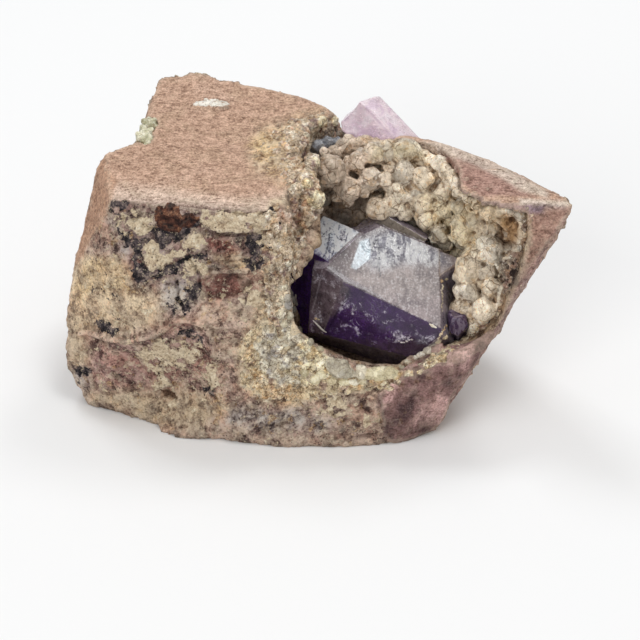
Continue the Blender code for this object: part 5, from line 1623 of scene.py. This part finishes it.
YELLOW, WHITE, GREY, OCHRE, CREAM = (226, 214, 176), (238, 230, 214), (174, 166, 156), (206, 162, 104), (222, 206, 168)
LIP = [
    (339, 368, 10.5, 1.2, GREY, 0.9), (330, 363, 6, 1.1, (186, 180, 168), 0.8), (347, 372, 7, 1.2, (176, 170, 160), 0.8),
    (353, 375, 2.6, 1.0, WHITE, 0.3), (350.5, 371.5, 1.6, 1.0, WHITE, 0.3), (361, 372, 7.5, 1.1, WHITE, 0.5), (370, 374, 6.5, 1.2, YELLOW, 0.4),
    (379, 373.5, 7.5, 1.5, (232, 222, 184), 0.5), (390, 373, 7.5, 1.2, YELLOW, 0.5), (397, 376, 5, 1.2, OCHRE, 0.2), (384, 370, 5, 1.6, (206, 196, 170), 0.6),
    (322, 374, 6, 1.2, YELLOW, 0.4), (315, 380, 5, 1.2, YELLOW, 0.3), (332, 380, 5, 1.3, CREAM, 0.3), (344, 382, 4.5, 1.5, YELLOW, 0.3),
    (354, 382, 4, 1.4, WHITE, 0.3), (363, 381, 4, 1.2, CREAM, 0.2), (305, 372, 5.5, 1.1, (206, 196, 164), 0.5), (380, 380, 4, 1.4, OCHRE, 0.1),
    (402, 368, 3.5, 1.2, (206, 196, 176), 0.4), (408, 362, 3.5, 1.2, (200, 190, 176), 0.4),
]
v, q, tone, masks = pixel_lumps(LIP, 701, 0.20, 0.30)
piece("lip_crystals", v, q, quartz_material("pale_quartz", 71.0, (150, 138, 108), (214, 202, 166), (240, 234, 214)), "lip_quartz", attributes=(("tone", tone), ("masks", masks)))

RIM_QUARTZ = [
    (291, 293, 5.5, 0.9, GREY, 0.9), (293, 301, 5, 0.9, (186, 180, 168), 0.9), (288, 305, 5, 0.9, (150, 146, 142), 0.9), (293, 310, 4.5, 1.0, (206, 200, 184), 0.8),
    (287, 298, 4.5, 1.0, (176, 168, 152), 0.8), (296, 296, 2.4, 0.6, WHITE, 0.5), (297, 304, 2.2, 0.6, WHITE, 0.5), (290, 316, 4, 1.0, (206, 198, 166), 0.6),
    (284, 324, 4, 1.0, YELLOW, 0.5), (300, 330, 4, 1.0, (190, 182, 160), 0.7), (310, 342, 4, 1.1, (190, 180, 150), 0.6), (320, 349, 3.6, 1.2, YELLOW, 0.5),
]
v, q, tone, masks = pixel_lumps(RIM_QUARTZ, 702, 0.18, 0.25)
piece("rim_quartz", v, q, quartz_material("grey_quartz", 72.0, (96, 92, 90), (160, 154, 146), (214, 208, 196)), "grey_quartz_rim", attributes=(("tone", tone), ("masks", masks)))

# thin crust on the large crystal's right edge, below it, and a few pale chips
TRACE = [(442.0 + 0.7 * math.sin(1.1 * k) + 0.5 * math.sin(2.9 * k), 285 + 1.3 * k, 1.35 + 0.5 * math.sin(2.3 * k) - 0.03 * k, 0.8, CREAM if k % 4 else WHITE, 0.1) for k in range(22)]
TRACE += [(446 - 0.6 * k + 0.7 * math.sin(2.0 * k), 325 + 1.1 * k, 1.15 + 0.45 * math.sin(1.7 * k), 1.1, OCHRE if k % 3 else CREAM, 0.0) for k in range(15)]
TRACE += [(433, 345, 3.6, 1.3, (214, 208, 200), 0.3), (428, 350, 4.4, 1.3, (226, 220, 210), 0.3), (422, 355, 4, 1.3, (206, 200, 192), 0.3), (438, 341, 3, 1.2, (206, 190, 160), 0.2), (416, 358, 3, 1.3, (196, 190, 180), 0.3)]
TRACE += [(445, 337, 2.8, 1.2, CREAM, 0.1), (450, 332, 2.6, 1.2, (186, 160, 130), 0.1), (441, 281, 2.0, 1.3, OCHRE, 0.0), (446, 279, 1.8, 1.4, CREAM, 0.0)]
TRACE += [(430, 324.0, 1.0, 1.4, WHITE, 0.6), (431.5, 325.0, 1.5, 1.4, WHITE, 0.6), (433, 325.8, 1.8, 1.4, WHITE, 0.6), (434.5, 326.6, 1.5, 1.4, WHITE, 0.6), (436.3, 327.4, 1.0, 1.4, WHITE, 0.6)]
# a thin white crescent of lumps at the crystal's left foot: a painted glint
TRACE += [(313.2 + 0.5 * k, 320.5 + 5.5 * math.sin(k / 26 * math.pi * 0.5) ** 1.4 + 0.24 * k, 0.75 + 0.35 * math.sin(k / 26 * math.pi), 1.1, (252, 250, 246), 0.8) for k in range(27)]
TRACE += [(316, 318.5, 1.6, 1.3, OCHRE, 0.1), (319, 319.5, 1.1, 1.2, CREAM, 0.1)]
TRACE += [(399 + 2.6 * k, 341 + 1.6 * math.sin(k), 0.8 + 0.3 * (k % 2), 1.6, (216, 208, 220), 0.6) for k in range(6)]
v, q, tone, masks = pixel_lumps(TRACE, 703, 0.13, 0.2, 0.03)
piece("crystal_crust", v, q, quartz_material("pale_crust", 73.0, (150, 128, 98), (214, 198, 168), (244, 238, 226)), "nodular_lining", attributes=(("tone", tone), ("masks", masks)), replaces=False)


def cad_quartz(node, size, relief, tone_rgb, seed):
    v, q = voxels(*arrays(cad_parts[node]), size)
    e = edges_of(q)
    v = v + 0.15 * (spread(v, e, 1) - v)
    n = normals(v, q)
    v = v + n * (relief * fractal(v, 1.2, 3, 0.6, seed=seed, ridged=True))[:, None]
    tone = np.empty((len(v), 3))
    tone[:] = srgb(*tone_rgb)
    shade = ease(-0.3, 0.4, fractal(v, 2.4, 3, seed=seed + 1))[:, None]
    tone = tone * (1 - 0.4 * shade) + tone * 0.4 * shade * 1.5
    return (v, q, *shaded(v, q, e, tone, np.full(len(v), 0.7)))


v, q, tone, masks = cad_quartz("hollow_druse", 0.17, 0.10, (132, 134, 140), 711)
piece("grey_druse", v, q, quartz_material("blue_grey_quartz", 74.0, (74, 72, 74), (132, 134, 140), (196, 200, 206), 0.0, (0.12, 0.4)), "hollow_druse", attributes=(("tone", tone), ("masks", masks)))


def notch():
    rng = np.random.default_rng(721)
    cad_v, cad_f = arrays(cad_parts["notch_quartz"])
    low, high = cad_v.min(0), cad_v.max(0)
    skin = tree(cad_v, cad_f)
    bodies, centres, radii = [(cad_v, cad_f)], [(low + high) / 2], [1.0]
    for _ in range(160):
        i = rng.integers(len(cad_f))
        a, b, c = cad_v[cad_f[i]]
        s, t = sorted(rng.uniform(size=2))
        p = a * s + b * (t - s) + c * (1 - t)
        r = float(rng.uniform(0.3, 0.95))
        bodies.append(blocky(p, r, rng, 16, 0.8, rng.normal(size=3), 1))
        centres.append(p)
        radii.append(r)
    v, q = voxels(*joined(bodies), 0.19)
    e = edges_of(q)
    v = v + 0.2 * (spread(v, e, 1) - v)
    n = normals(v, q)
    v = v + n * (0.12 * fractal(v, 1.0, 3, 0.6, seed=722, ridged=True))[:, None]
    owner = owners(v, np.array(centres), np.array(radii))
    tones = np.array([srgb(*c) for c in ((206, 204, 176), (226, 222, 200), (190, 186, 152), (214, 208, 184))])
    tone = spread(tones[rng.integers(4, size=len(centres))][owner], e, 1)
    return (v, q, *shaded(v, q, e, tone, np.full(len(v), 0.4)))


v, q, tone, masks = notch()
piece("notch_crystals", v, q, quartz_material("greenish_quartz", 75.0, (150, 146, 112), (206, 202, 172), (236, 232, 212)), "notch_quartz", attributes=(("tone", tone), ("masks", masks)))

LENS = []
for k in range(19):
    t = (k - 9) / 9.3
    half = 4.6 * math.sqrt(max(0.0, 1 - t * t)) * (0.86 + 0.18 * math.sin(2.3 * k))
    for row in range(3):
        LENS.append((211.5 + 17.6 * t, 103.2 + (row - 1) * half * 0.60 + 1.2 * abs(t) + 0.5 * math.sin(5 * k + row), max(1.3, half * 0.50), 1.25, WHITE if (k + row) % 5 else (226, 214, 200), 0.2))


def lens():
    v, q, tone, masks = pixel_lumps(LENS, 731, 0.20, 0.75, 0.05, (6, 12))
    return v, q, tone, masks


v, q, tone, masks = lens()
piece("white_lens", v, q, quartz_material("white_zeolite", 76.0, (206, 196, 184), (238, 234, 226), (252, 250, 246), 0.0, (0.4, 0.7)), "white_amygdule", attributes=(("tone", tone), ("masks", masks)))
